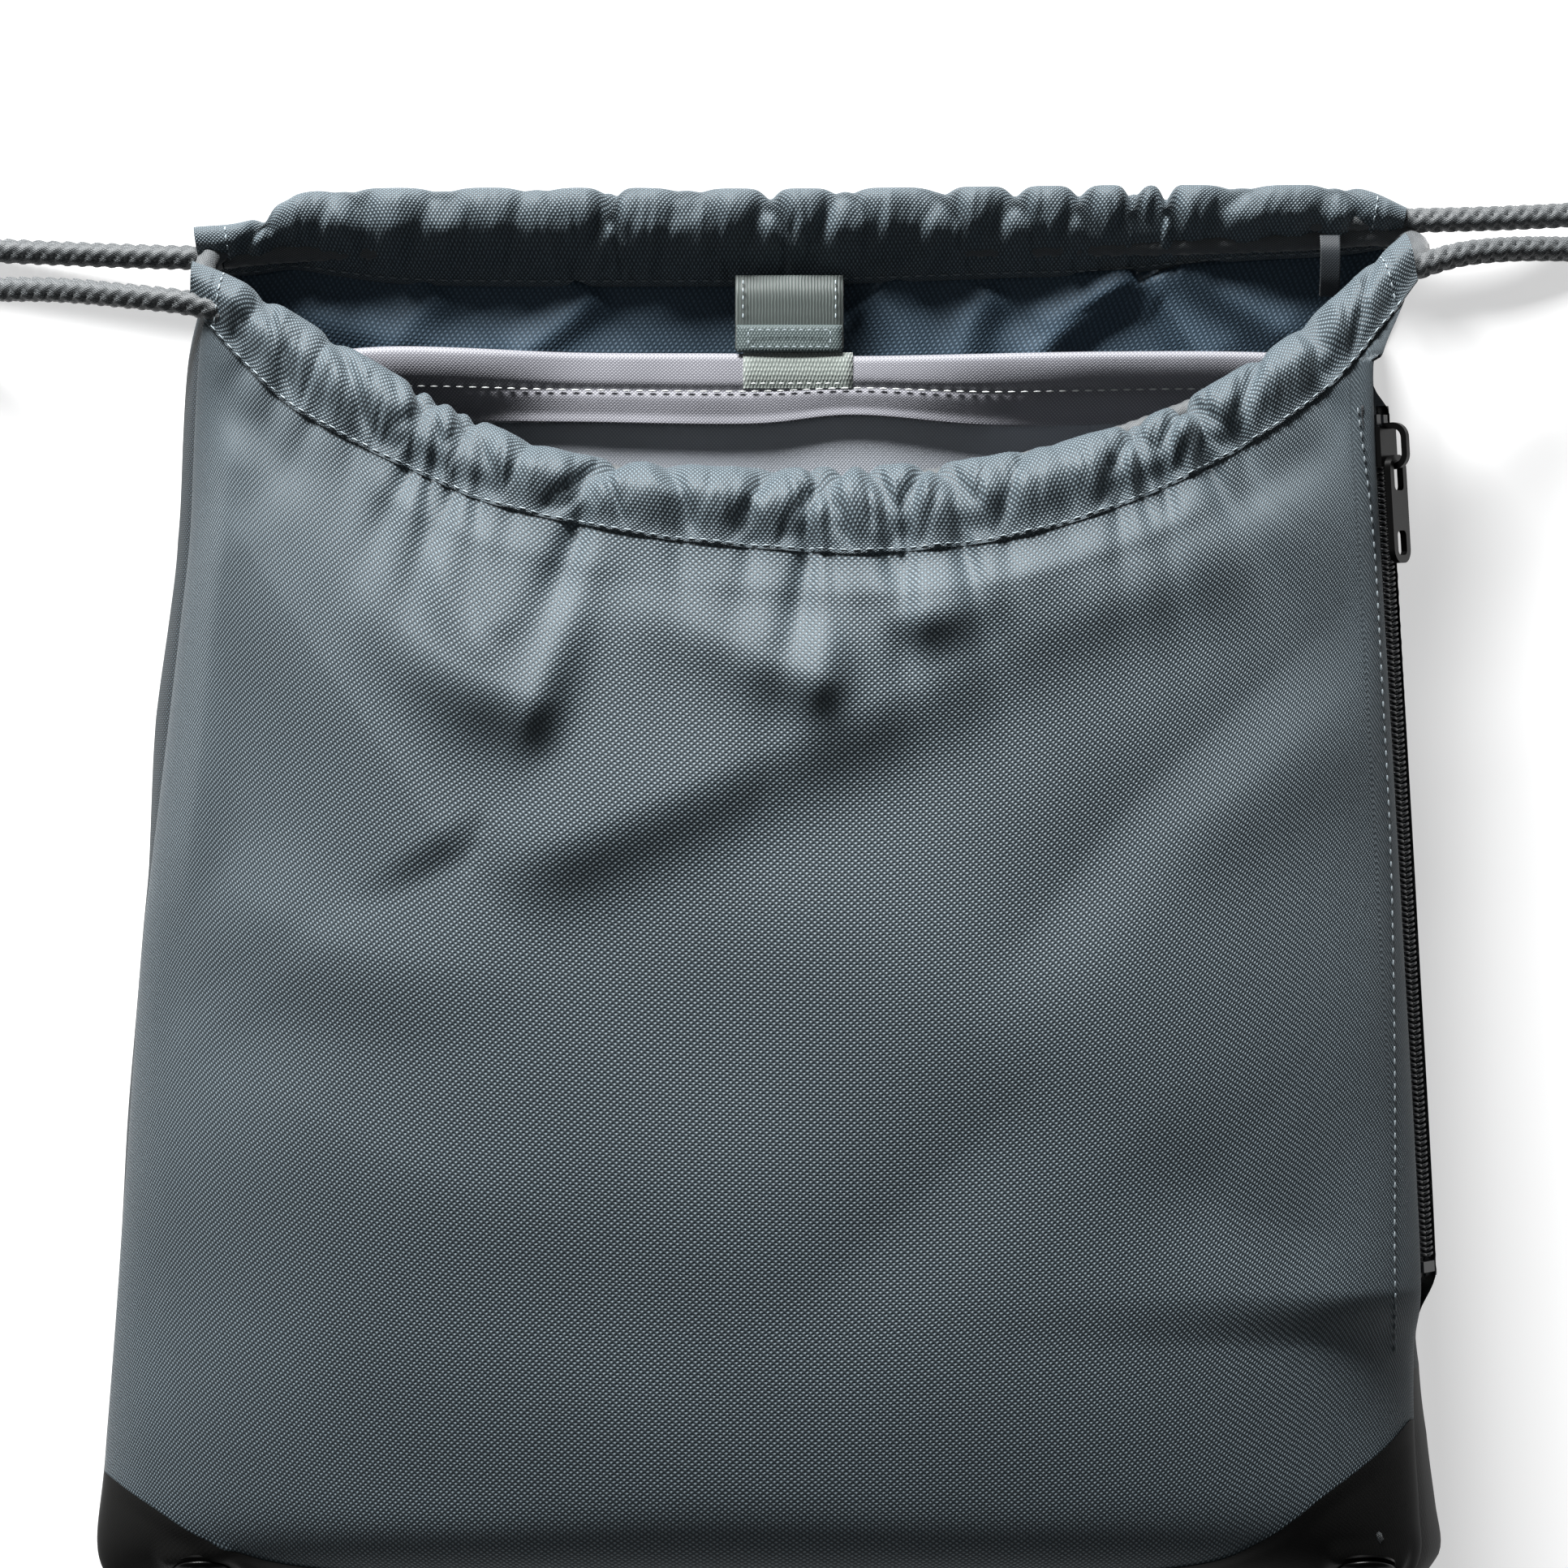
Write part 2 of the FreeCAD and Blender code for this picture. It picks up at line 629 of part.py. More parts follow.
right_back_route = [
    right_b,
    right_b + right_b_dir * 24,
    Vector(226, 192, 5),
    Vector(264, 195, ground),
    Vector(304, 182, ground),
    Vector(330, 146, ground),
    Vector(334, 90, ground),
    Vector(326, 28, ground),
    Vector(332, -36, ground),
    Vector(322, -100, ground),
    Vector(326, -162, ground),
    Vector(300, -220, ground),
    Vector(250, -256, ground),
    Vector(200, -268, ground),
    Vector(169, -261, 10),
    Vector(158, -243, 26),
    throat_end + Vector(-strand_gap, 0, 0) + cord_leave * 24,
    throat_end + Vector(-strand_gap, 0, 0),
]
for name, route in (("left_front_strand", left_front_route), ("left_back_strand", left_back_route),
                    ("right_front_strand", right_front_route), ("right_back_strand", right_back_route)):
    print(name)
    export_list[name] = tube(rounded(route), cord_d)

# ---- write --------------------------------------------------------------------------------
os.makedirs("parts", exist_ok=True)
for name in sorted(export_list):
    export(name, export_list[name])
print("slider start", on_zipper(Part.Vertex(slider_mid, 0, plate_top)).Point, "along", side_along * -1)
print("puller hinge", on_zipper(Part.Vertex(bar_x, 0, bar_z)).Point, "axis", shoulder_up)
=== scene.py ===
import math
import random

import bmesh
import bpy
import numpy as np
from mathutils import Matrix, Vector


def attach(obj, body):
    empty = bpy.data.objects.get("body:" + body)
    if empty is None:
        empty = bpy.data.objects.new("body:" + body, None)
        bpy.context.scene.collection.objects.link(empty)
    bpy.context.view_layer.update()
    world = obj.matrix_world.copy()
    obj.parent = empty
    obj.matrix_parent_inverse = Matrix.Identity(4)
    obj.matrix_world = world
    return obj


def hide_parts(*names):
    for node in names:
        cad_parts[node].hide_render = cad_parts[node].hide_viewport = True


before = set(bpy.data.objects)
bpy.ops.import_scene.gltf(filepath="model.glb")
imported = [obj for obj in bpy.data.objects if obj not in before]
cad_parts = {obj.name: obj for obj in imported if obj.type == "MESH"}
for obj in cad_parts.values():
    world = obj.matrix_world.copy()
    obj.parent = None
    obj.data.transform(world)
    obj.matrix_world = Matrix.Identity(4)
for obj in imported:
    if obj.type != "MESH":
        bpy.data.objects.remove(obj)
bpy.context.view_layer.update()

MM = 0.001


# ---- small tools ----
def distances(points):
    """How far along a line each of its points lies."""
    return np.concatenate([[0], np.cumsum(np.linalg.norm(np.diff(points, axis=0), axis=1))])


def line_through(points, count):
    """Smooth curve through given points, with count samples evenly spaced along it."""
    p = np.array(points, float)
    ends = np.vstack([2 * p[0] - p[1], p, 2 * p[-1] - p[-2]])
    fine = []
    for i in range(len(p) - 1):
        a, b, c, d = ends[i:i + 4]
        for t in np.linspace(0, 1, 24, endpoint=False):
            fine.append(0.5 * (2 * b + (c - a) * t + (2 * a - 5 * b + 4 * c - d) * t * t
                               + (3 * b - a - 3 * c + d) * t ** 3))
    fine.append(p[-1])
    fine = np.array(fine)
    run = distances(fine)
    stops = np.linspace(0, run[-1], count)
    return np.stack([np.interp(stops, run, fine[:, k]) for k in range(p.shape[1])], axis=1)


def smooth(a, b, x):
    """0 below a, 1 above b, with an easy start and stop."""
    t = np.clip((x - a) / (b - a), 0, 1)
    return t * t * (3 - 2 * t)


def baked(bm, name):
    """The bmesh as a named mesh."""
    mesh = bpy.data.meshes.new(name)
    bm.to_mesh(mesh)
    bm.free()
    return mesh


def piece(name, mesh, body, material, replaces=()):
    obj = bpy.data.objects.new(name, mesh)
    bpy.context.scene.collection.objects.link(obj)
    mesh.materials.append(material)
    mesh.shade_smooth()
    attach(obj, body)
    if replaces:
        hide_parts(*replaces)
    return obj


def woven(name, across, along, place, wrap=False, flat=None):
    """A sheet or tube: a bmesh grid whose points place(u, v) puts in space, in mm.

    u and v run from 0 to 1.  flat(u, v) gives the cut cloth's own coordinates in mm, for the weave."""
    bm = bmesh.new()
    bmesh.ops.create_grid(bm, x_segments=across, y_segments=along, size=0.5)
    bm.verts.ensure_lookup_table()
    grid = np.array([v.co[:2] for v in bm.verts]) + 0.5
    spots = place(grid[:, 0], grid[:, 1])
    cut = flat(grid[:, 0], grid[:, 1]) if flat else spots[:, :2]
    layer = bm.loops.layers.uv.new("cut")
    for v, co in zip(bm.verts, spots * MM):
        v.co = co
    for f in bm.faces:
        for loop in f.loops:
            loop[layer].uv = cut[loop.vert.index] * MM
    if wrap:
        bmesh.ops.remove_doubles(bm, verts=bm.verts, dist=1e-6)
    return baked(bm, name)


def cut_to(width, length):
    """Coordinates in mm of a flat cloth cut to this width and length."""
    return lambda u, v: np.stack([u * width, v * length], axis=1)


def cloth(name, across, along, place, flat, material, node_names):
    return piece(name, woven(name, across, along, place, flat=flat), "root", material, node_names)


def thicken(obj, thickness, offset=-1.0):
    mod = obj.modifiers.new("cloth thickness", "SOLIDIFY")
    mod.thickness = thickness * MM
    mod.offset = offset
    return obj


# ---- materials ----
def linear(code):
    """sRGB hex to the linear colour that a shader wants."""
    values = [int(code[i:i + 2], 16) / 255 for i in (1, 3, 5)]
    return [v / 12.92 if v <= 0.04045 else ((v + 0.055) / 1.055) ** 2.4 for v in values] + [1.0]


def node(tree, kind, links=None, **settings):
    """Add a node, set its properties and sockets, and link its inputs."""
    new = tree.nodes.new(kind)
    for key, value in settings.items():
        if hasattr(new, key) and key not in new.inputs:
            setattr(new, key, value)
        else:
            new.inputs[key.replace("_", " ")].default_value = value
    for key, source in (links or {}).items():
        tree.links.new(source, new.inputs[key])
    return new


def shader(name, **settings):
    material = bpy.data.materials.new(name)
    material.use_nodes = True
    tree = material.node_tree
    bsdf = tree.nodes["Principled BSDF"]
    for key, value in settings.items():
        bsdf.inputs[key.replace("_", " ")].default_value = value
    return material, tree, bsdf


def mixed(tree, factor, low, high):
    """Colour between two hex colours by a factor socket."""
    mix = node(tree, "ShaderNodeMix", data_type="RGBA")
    tree.links.new(factor, mix.inputs["Factor"])
    for socket, colour in ((mix.inputs[6], low), (mix.inputs[7], high)):
        socket.default_value = colour
    return mix.outputs[2]


BAND = 0.314                  # a wave texture of scale BAND / p repeats about every p


def weave_height(tree, pitch, slant):
    """Ticks of a woven ground: two slanted wave bands over the cloth's own coordinates."""
    uv = node(tree, "ShaderNodeUVMap", uv_map="cut")
    waves = []
    for turn in (slant, -slant):
        spot = node(tree, "ShaderNodeMapping", {"Vector": uv.outputs[0]}, vector_type="POINT")
        spot.inputs["Rotation"].default_value = (0, 0, math.radians(turn))
        wave = node(tree, "ShaderNodeTexWave", {"Vector": spot.outputs[0]}, wave_type="BANDS",
                    Scale=BAND / (pitch * MM), Distortion=1.2, Detail=1.0)
        waves.append(wave.outputs["Fac"])
    both = node(tree, "ShaderNodeMath", operation="MULTIPLY")
    tree.links.new(waves[0], both.inputs[0])
    tree.links.new(waves[1], both.inputs[1])
    return both.outputs[0], uv.outputs[0]


def cloth_material(name, dark, light, pitch, slant, rough, bump, sheen, patch, shine=0.35):
    """Woven cloth: ticks in two tones, a soft patchiness, and the ticks again as bump."""
    material, tree, bsdf = shader(name, Roughness=rough, Sheen_Weight=sheen, Sheen_Roughness=0.45,
                                  Specular_IOR_Level=shine)
    ticks, uv = weave_height(tree, pitch, slant)
    ground = mixed(tree, ticks, linear(dark), linear(light))
    blotch = node(tree, "ShaderNodeTexNoise", {"Vector": uv}, Scale=26.0, Detail=3.0)
    shade = node(tree, "ShaderNodeMapRange", {"Value": blotch.outputs["Fac"]})
    shade.inputs["To Min"].default_value = 1.0 - patch
    shade.inputs["To Max"].default_value = 1.0 + patch
    tone = node(tree, "ShaderNodeVectorMath", operation="SCALE")
    tree.links.new(ground, tone.inputs[0])
    tree.links.new(shade.outputs[0], tone.inputs["Scale"])
    tree.links.new(tone.outputs[0], bsdf.inputs["Base Color"])
    relief = node(tree, "ShaderNodeBump", {"Height": ticks}, Strength=bump, Distance=0.25 * MM)
    tree.links.new(relief.outputs[0], bsdf.inputs["Normal"])
    return material


def plain_material(name, colour, rough, grain, grain_size, shine=0.5):
    """Moulded or enamelled finish with a fine grain on Object coordinates."""
    material, tree, bsdf = shader(name, Base_Color=linear(colour), Roughness=rough, Specular_IOR_Level=shine)
    where = node(tree, "ShaderNodeTexCoord")
    noise = node(tree, "ShaderNodeTexNoise", {"Vector": where.outputs["Object"]},
                 Scale=1.0 / (grain_size * MM), Detail=2.0)
    relief = node(tree, "ShaderNodeBump", {"Height": noise.outputs["Fac"]}, Strength=grain, Distance=0.1 * MM)
    tree.links.new(relief.outputs[0], bsdf.inputs["Normal"])
    return material


# 600-denier polyester, piece dyed slate, woven with a small dobby tick: lit ticks on a darker ground
SHELL = cloth_material("slate_dobby_polyester", "#272f34", "#6f7e86", 1.0, 38, 0.56, 0.95, 0.05, 0.12,
                       shine=0.36)
# the same cloth on the gussets in a darker, duller copy: painted shade that keeps the bag's sides dark
SHADE_PAINTED_GUSSET = cloth_material("slate_dobby_gusset_painted_shade", "#161c20", "#434e54", 1.0, 52, 0.62, 0.8, 0.0, 0.12, shine=0.2)
# the same cloth's coated inner face, duller; its darker, bluer tones are partly painted shade, for the shade
# that falls on it under the back tunnel
INSIDE_FACE_AND_SHADE = cloth_material("coated_inner_face_and_painted_shade", "#24323d", "#485a69", 1.3, 38, 0.6, 0.6, 0.03, 0.15, shine=0.2)
# black polyurethane-coated cloth of the base: smooth, faintly satin
COATED = cloth_material("black_coated_cloth", "#0d0d0c", "#121211", 0.9, 45, 0.6, 0.1, 0.0, 0.15, shine=0.2)
# thin plain-weave lining
LINING = cloth_material("plain_weave_lining", "#626269", "#929398", 0.75, 45, 0.5, 0.35, 0.3, 0.08)
# the same plain-weave lining for the divider and the zip pocket, in a lighter copy: painted light that lifts
# the shade these lie in inside the bag
SHADE_LIFTED_LINING = cloth_material("lining_lifted_against_shade", "#8c9097", "#b4b9c0", 0.75, 45, 0.6, 0.3, 0.15, 0.1)
LABEL = cloth_material("label_ribbon", "#0d1318", "#1b242b", 0.6, 45, 0.6, 0.3, 0.2, 0.1)
PALE_THREAD = plain_material("pale_thread", "#b4b7b6", 0.6, 0.2, 0.3)
# polyester grosgrain webbing: ribs across the tape
WEBBING = cloth_material("ribbed_webbing", "#252c2a", "#48514e", 0.9, 0.5, 0.55, 0.6, 0.2, 0.1)
HOOKS = cloth_material("hook_tape", "#313c3d", "#5b6766", 0.8, 30, 0.6, 0.6, 0.1, 0.15)
LOOPS = cloth_material("napped_loop_tape", "#6c7470", "#a2a8a2", 0.9, 20, 0.85, 0.9, 0.5, 0.3)


CORD_D = 6.0
PLAIT = 4.2                   # mm along the cord for one V of the braid
# grey polyester cord; its braid is in the mesh, see braided()
CORD = cloth_material("braided_polyester", "#2b2e30", "#5f6365", 0.5, 30, 0.5, 0.4, 0.3, 0.1)
THREAD = plain_material("sewing_thread", "#8b969b", 0.6, 0.2, 0.3)
DARK_THREAD = plain_material("grey_thread", "#646c70", 0.6, 0.2, 0.3)
# black enamel on die-cast zinc: satin
ENAMEL = plain_material("black_enamel", "#030303", 0.3, 0.03, 1.5, 0.16)
COIL = plain_material("nylon_coil", "#26282b", 0.38, 0.1, 0.5)
TAPE = cloth_material("zipper_tape", "#17191c", "#2b2e31", 0.6, 45, 0.7, 0.4, 0.05, 0.1)

# ---- camera, light and ground ----
scene = bpy.context.scene
scene.view_settings.view_transform = "Standard"
VIEW_WIDTH = 434.7            # mm across the picture at the height of the cloth
VIEW_Y = 31.3
VIEW_HEIGHT = 2000.0
CLOTH_HEIGHT = 40.0
lens = bpy.data.cameras.new("camera")
lens.sensor_width = 36.0
lens.lens = 36.0 * (VIEW_HEIGHT - CLOTH_HEIGHT) / VIEW_WIDTH
lens.clip_start = 0.05
camera = bpy.data.objects.new("camera", lens)
scene.collection.objects.link(camera)
camera.location = (0, VIEW_Y * MM, VIEW_HEIGHT * MM)
scene.camera = camera

world = bpy.data.worlds.new("studio")
scene.world = world
world.use_nodes = True
world.node_tree.nodes["Background"].inputs["Color"].default_value = linear("#f4f7fa")
world.node_tree.nodes["Background"].inputs["Strength"].default_value = 0.11


def softbox(name, place, aim, size, power):
    data = bpy.data.lights.new(name, "AREA")
    data.shape = "RECTANGLE"
    data.size, data.size_y = size
    data.energy = power
    box = bpy.data.objects.new(name, data)
    scene.collection.objects.link(box)
    box.location = place
    box.rotation_euler = (Vector(aim) - Vector(place)).to_track_quat("-Z", "Y").to_euler()
    return box


softbox("key_from_the_mouth", (-0.6, 2.05, 0.80), (0, 0.03, 0), (1.3, 0.45), 222)
softbox("left_fill", (-1.5, 0.1, 2.0), (-0.05, 0, 0), (1.4, 1.4), 4)

# the floor glows a little, like a light table, so that shadows stay faint
floor_mat, _, _ = shader("matt_white_paint", Base_Color=linear("#c4c4c4"), Roughness=0.9,
                         Specular_IOR_Level=0.1, Emission_Color=linear("#ffffff"), Emission_Strength=0.55)
bm = bmesh.new()
bmesh.ops.create_grid(bm, x_segments=2, y_segments=2, size=4.0)
floor_mesh = baked(bm, "floor")
floor_mesh.materials.append(floor_mat)
floor_piece = bpy.data.objects.new("floor", floor_mesh)
scene.collection.objects.link(floor_piece)
floor_piece.location = (0, 0, -0.0002)

# ---- cords: braided polyester, 6 mm ----
GROUND = CORD_D / 2


def followed(name, route):
    """Points of a smooth NURBS line whose control points are the route's."""
    data = bpy.data.curves.new(name + "_line", "CURVE")
    data.dimensions = "3D"
    data.resolution_u = 24
    spline = data.splines.new("NURBS")
    spline.points.add(len(route) - 1)
    for p, spot in zip(spline.points, route):
        x, y, z = spot if len(spot) == 3 else (*spot, GROUND)
        p.co = (x * MM, y * MM, z * MM, 1)
    spline.order_u = 3
    spline.use_endpoint_u = True
    obj = bpy.data.objects.new(name + "_line", data)
    scene.collection.objects.link(obj)
    mesh = bpy.data.meshes.new_from_object(obj)
    points = [v.co.copy() for v in mesh.vertices]
    bpy.data.objects.remove(obj)
    bpy.data.curves.remove(data)
    bpy.data.meshes.remove(mesh)
    return points


def tube_along(name, line, around, radius, flat=None):
    """Tube round a line of points, in mm; radius(v, turn) may change along it and round it."""
    count = len(line) - 1
    ahead = np.gradient(line, axis=0)
    ahead /= np.linalg.norm(ahead, axis=1)[:, None]
    side = np.zeros_like(ahead)
    last = np.cross(ahead[0], [0.01, 0.02, 1.0])
    for i, t in enumerate(ahead):
        last = last - t * np.dot(last, t)
        last /= np.linalg.norm(last)
        side[i] = last
    rise = np.cross(side, ahead)

    def place(u, v):
        i = np.clip(np.rint(v * count).astype(int), 0, count)
        turn = u * 2 * math.pi
        r = radius(v, u)
        return line[i] + side[i] * (r * np.cos(turn))[:, None] + rise[i] * (r * np.sin(turn))[:, None]

    return woven(name, around, count, place, wrap=True, flat=flat)


def braided(name, points, around=20, step=0.85, squeeze=((0, 1), (1, 1)), low=0.9, relief=0.2):
    """Tube along the points whose skin rises and falls like an eight-strand braid."""
    p = np.array(points) / MM
    run = distances(p)
    count = max(4, int(run[-1] / step))
    marks = np.linspace(0, run[-1], count + 1)
    line = np.stack([np.interp(marks, run, p[:, k]) for k in range(3)], axis=1)
    stops, sizes = zip(*squeeze)

    def radius(v, u):
        s = v * run[-1] / PLAIT
        a = u * 4 + s
        b = u * 4 - s
        over = np.sin(math.pi * a) * np.sin(math.pi * b) > 0
        lump = np.where(over, np.abs(np.sin(math.pi * a)), np.abs(np.sin(math.pi * b)))
        return CORD_D / 2 * (low + relief * lump ** 0.7) * np.interp(v, stops, sizes)

    def flat(u, v):
        return np.stack([u * math.pi * CORD_D, v * run[-1]], axis=1)

    return tube_along(name, line, around, radius, flat=flat), run[-1]


THROAT = (161.0, -194.3447, 47.4637)
LEAVE = (0.0, -0.97014, -0.24254)


def from_throat(x, reach):
    return (x, THROAT[1] + LEAVE[1] * reach, THROAT[2] + LEAVE[2] * reach)


# control points of the free strands; one without a height lies on the ground
ROUTES = {
    "left_front_strand": [
        (-156, 162.5, 36.5), (-164, 165, 36), (-180, 166.8, 33), (-206, 170, 22), (-237, 170, 9),
        (-266, 157), (-290, 129), (-303, 84), (-299, 28), (-309, -34), (-303, -94), (-292, -152),
        (-267, -202), (-231, -236), (-196, -250), (-175, -245, 12), (-166, -230, 28),
        from_throat(-164.15, 17), from_throat(-164.15, 0)],
    "left_back_strand": [
        (-158, 179.5, 7.5), (-170, 179.6, 7.5), (-192, 180.4, 6), (-226, 182, 4), (-262, 184),
        (-298, 172), (-322, 136), (-330, 82), (-322, 22), (-331, -40), (-326, -104), (-312, -166),
        (-283, -219), (-240, -254), (-195, -268), (-167, -261, 10), (-158, -243, 26),
        from_throat(-157.85, 24), from_throat(-157.85, 0)],
    "right_front_strand": [
        (172, 173.5, 33), (183, 178, 29.5), (196, 180.5, 25), (214, 181.5, 19), (242, 181, 9), (272, 168),
        (297, 141), (310, 94), (302, 38), (308, -22), (300, -82), (305, -142), (282, -198), (240, -235),
        (198, -251), (175, -245, 12), (166, -230, 28), from_throat(164.15, 17), from_throat(164.15, 0)],
    "right_back_strand": [
        (169, 189.8, 9.8), (193, 190.1, 10.3), (226, 192, 5), (264, 195), (304, 182), (330, 146),
        (334, 90), (326, 28), (332, -36), (322, -100), (326, -162), (300, -220), (250, -256), (200, -268),
        (169, -261, 10), (158, -243, 26), from_throat(157.85, 24), from_throat(157.85, 0)],
}
for name, route in ROUTES.items():
    points = followed(name, route)
    mesh, length = braided(name + "_cord", points, around=24, step=0.7, low=0.86, relief=0.34)
    cord_piece = piece(name + "_cord", mesh, "root", CORD, [name])

RIM_CENTRE = np.array([0, 371.57, -38.17])
RIM_DOWN = np.array([0, -0.9468, 0.3219])
RIM_UP = np.array([0, 0.3219, 0.9468])


def in_rim(radius, angle, lift):
    """Point inside the front tunnel: radius and angle about the rim's centre, height in the tunnel."""
    turn = math.radians(angle)
    spot = RIM_CENTRE + np.array([radius * math.sin(turn), 0, 0]) + RIM_DOWN * (radius * math.cos(turn))
    return tuple(spot + RIM_UP * lift)


# The two cords lie side by side in each tunnel and turn back where they leave its far end.
IN_TUNNELS = {
    "left_cord_in_tunnels": [
        (-156, 162.5, 36.5), (-149, 157.5, 35.4), in_rim(274, -29, -2), in_rim(274, -20, -1),
        in_rim(275, -8, -1), in_rim(275, 4, -1), in_rim(275, 16, -1), in_rim(275, 26, -1),
        in_rim(274, 33, -1), (168, 168.5, 34), (176.5, 177.5, 27), (178.5, 182, 17), (175, 185, 9.5),
        (166, 186.4, 7.8), (150, 184.6, 7), (90, 183, 6.4), (0, 182.6, 6.4), (-90, 182.6, 6.6),
        (-140, 182, 7), (-158, 179.5, 7.5)],
    "right_cord_in_tunnels": [
        (172, 173.5, 33), (163, 166, 35), in_rim(281, 31, -1), in_rim(281.5, 22, 0.8),
        in_rim(281.5, 10, 0.8), in_rim(281.5, -2, 0.8), in_rim(281.5, -14, 0.8), in_rim(281, -24, 0),
        (-140, 151, 34), (-154, 158, 34), (-162.5, 167, 25), (-163.5, 176, 16), (-159, 182, 9.2),
        (-146, 186.4, 8.6), (-90, 189.4, 8.4), (0, 189.6, 8.4), (90, 190, 8.4), (145, 190, 8.8),
        (169, 189.8, 9.8)],
}
for name, route in IN_TUNNELS.items():
    mesh, length = braided(name + "_braid", followed(name, route), around=14, step=1.2)
    piece(name + "_braid", mesh, "root", CORD, [name])

# ---- the bag's form, in mm: outline, lengthwise profile, folds ----
FRONT_LEFT = [(-198, -177), (-184, -190.2), (-154, -188.3), (-89, -183.6), (-20, -178.8), (8, -175.8),
              (31, -173), (56, -170), (77, -167.5), (100, -165), (127, -163.8), (150, -162.5),
              (164, -160.5), (180, -158)]
FRONT_RIGHT = [(-198, 168), (-184, 176.5), (-170, 176.4), (-146, 175), (-125, 175), (-100, 176), (0, 170.6),
               (134, 163.2), (150, 165.5), (164, 171.5), (180, 178)]
LEFT_BULGE = [(-198, 0.5), (-150, 2), (-20, 2.5), (8, 3.5), (50, 6), (100, 7), (150, 5), (180, 3)]
RIGHT_BULGE = [(-198, 5), (-184, 8.5), (-150, 7), (-131, 4.5), (-116, 1.0), (-100, 0.2), (0, 0.2),
               (134, 0.2), (150, 2), (180, 2)]
EDGE_LEFT_Z = 36.0
EDGE_RIGHT_Z = 44.5
BASE_EDGE = [(-191, -159), (-175, -168), (-156, -178), (-127, -185), (-60, -187), (50, -187), (108, -184.5),
             (131, -177), (150, -164), (166, -153), (175, -145)]
SEAM = [(-165, 164.5), (-154, 152), (-138.6, 137), (-121, 126.5), (-100, 116.5), (-78, 107.5), (-37, 99),
        (8, 94.8), (30, 94.8), (64, 99), (96, 109), (125, 123), (150, 140), (166, 158), (176, 171)]
profile = line_through([(190, 31), (172, 37), (150, 45), (123, 54), (96, 63), (40, 70.5), (-44, 74),
                        (-120, 71.5), (-160, 67.5), (-178, 62.5), (-187.5, 53), (-193, 40), (-197, 25),
                        (-198, 13), (-194, 3.5), (-186, 0.7)], 900)
profile_run = distances(profile)
falling = int(np.argmin(profile[:, 0]))


def run_at(y):
    """How far along the profile the front has reached y."""
    return np.interp(-np.asarray(y), -profile[:falling, 0], profile_run[:falling])


def at(table, x):
    xs, ys = zip(*table)
    return np.interp(x, xs, ys)


def bend_of(table, x):
    """Like at(), rounded between its points."""
    soft = line_through(table, 300)
    return np.interp(x, soft[:, 0], soft[:, 1])


def front_edges(y):
    return bend_of(FRONT_LEFT, y), bend_of(FRONT_RIGHT, y)


def along_line(x, y, points):
    """Distance to a line through points, positive on its mouth side, and the share of it passed."""
    soft = line_through(points, 40)
    best = np.full(x.shape, 1e9)
    side = np.zeros_like(x)
    way = np.zeros_like(x)
    seg = np.diff(soft, axis=0)
    length = np.linalg.norm(seg, axis=1)
    done = np.concatenate([[0], np.cumsum(length)]) / length.sum()
    for i, (start, step) in enumerate(zip(soft[:-1], seg)):
        dx, dy = x - start[0], y - start[1]
        t = np.clip((dx * step[0] + dy * step[1]) / (length[i] ** 2), 0, 1)
        ex, ey = dx - t * step[0], dy - t * step[1]
        d = np.hypot(ex, ey)
        closer = d < best
        best = np.where(closer, d, best)
        s = np.sign(step[0] * ey - step[1] * ex)
        side = np.where(closer, s, side)
        way = np.where(closer, done[i] + t * (done[i + 1] - done[i]), way)
    left_to_right = 1 if soft[-1, 0] > soft[0, 0] else -1
    return best * side * left_to_right, way


# Each fold of the front: its line, height, width on the mouth side, width on the far side,
# depth of the hollow beyond it as a share of the height, and how much of its ends fade out.
FRONT_FOLDS = [
    ([(4, 62), (38, 77), (82, 87), (121, 100), (150, 120)], 4.0, 26, 16, 0.3, (0.3, 0.35)),
    ([(-88, 6), (-43, 24), (15, 50), (72, 75), (120, 98)], 3.8, 34, 15, 0.6, (0.14, 0.5)),
    ([(-163, 118), (-128, 66), (-108, 38), (-88, 8)], 3.2, 13, 26, 0.2, (0.2, 0.1)),
    ([(46, -36), (70, -6), (99, 29), (150, 75), (169, 108)], -2.6, 18, 16, 0.0, (0.3, 0.35)),
    ([(-12, -126), (39, -80), (84, -34)], -1.8, 22, 22, 0.0, (0.4, 0.4)),
    ([(-166, 10), (-120, -14), (-60, -22)], 1.8, 22, 20, 0.2, (0.3, 0.5)),
    ([(-160, -40), (-110, -70), (-40, -96)], 1.4, 26, 24, 0.2, (0.3, 0.5)),
    ([(96, -60), (120, -84), (164, -96)], -1.6, 22, 20, 0.0, (0.4, 0.3)),
    ([(92, 10), (126, 30), (160, 62)], 1.6, 20, 16, 0.2, (0.4, 0.4)),
    ([(-150, 134), (-157, 92), (-161, 40), (-168, -20)], 2.2, 9, 10, 0.2, (0.1, 0.4)),
    ([(-112, 132), (-100, 100), (-86, 74), (-74, 60)], 1.8, 9, 7, 0.2, (0.2, 0.2)),
    ([(-86, 118), (-84, 96), (-76, 66)], 1.6, 7, 6, 0.2, (0.2, 0.2)),
    ([(-14, 100), (-10, 86), (0, 66)], 1.5, 9, 7, 0.2, (0.2, 0.2)),
    ([(62, 104), (58, 94), (52, 84)], 1.6, 8, 7, 0.2, (0.1, 0.4)),
    ([(118, 122), (108, 106), (92, 92)], 2.2, 9, 8, 0.2, (0.1, 0.4)),
]
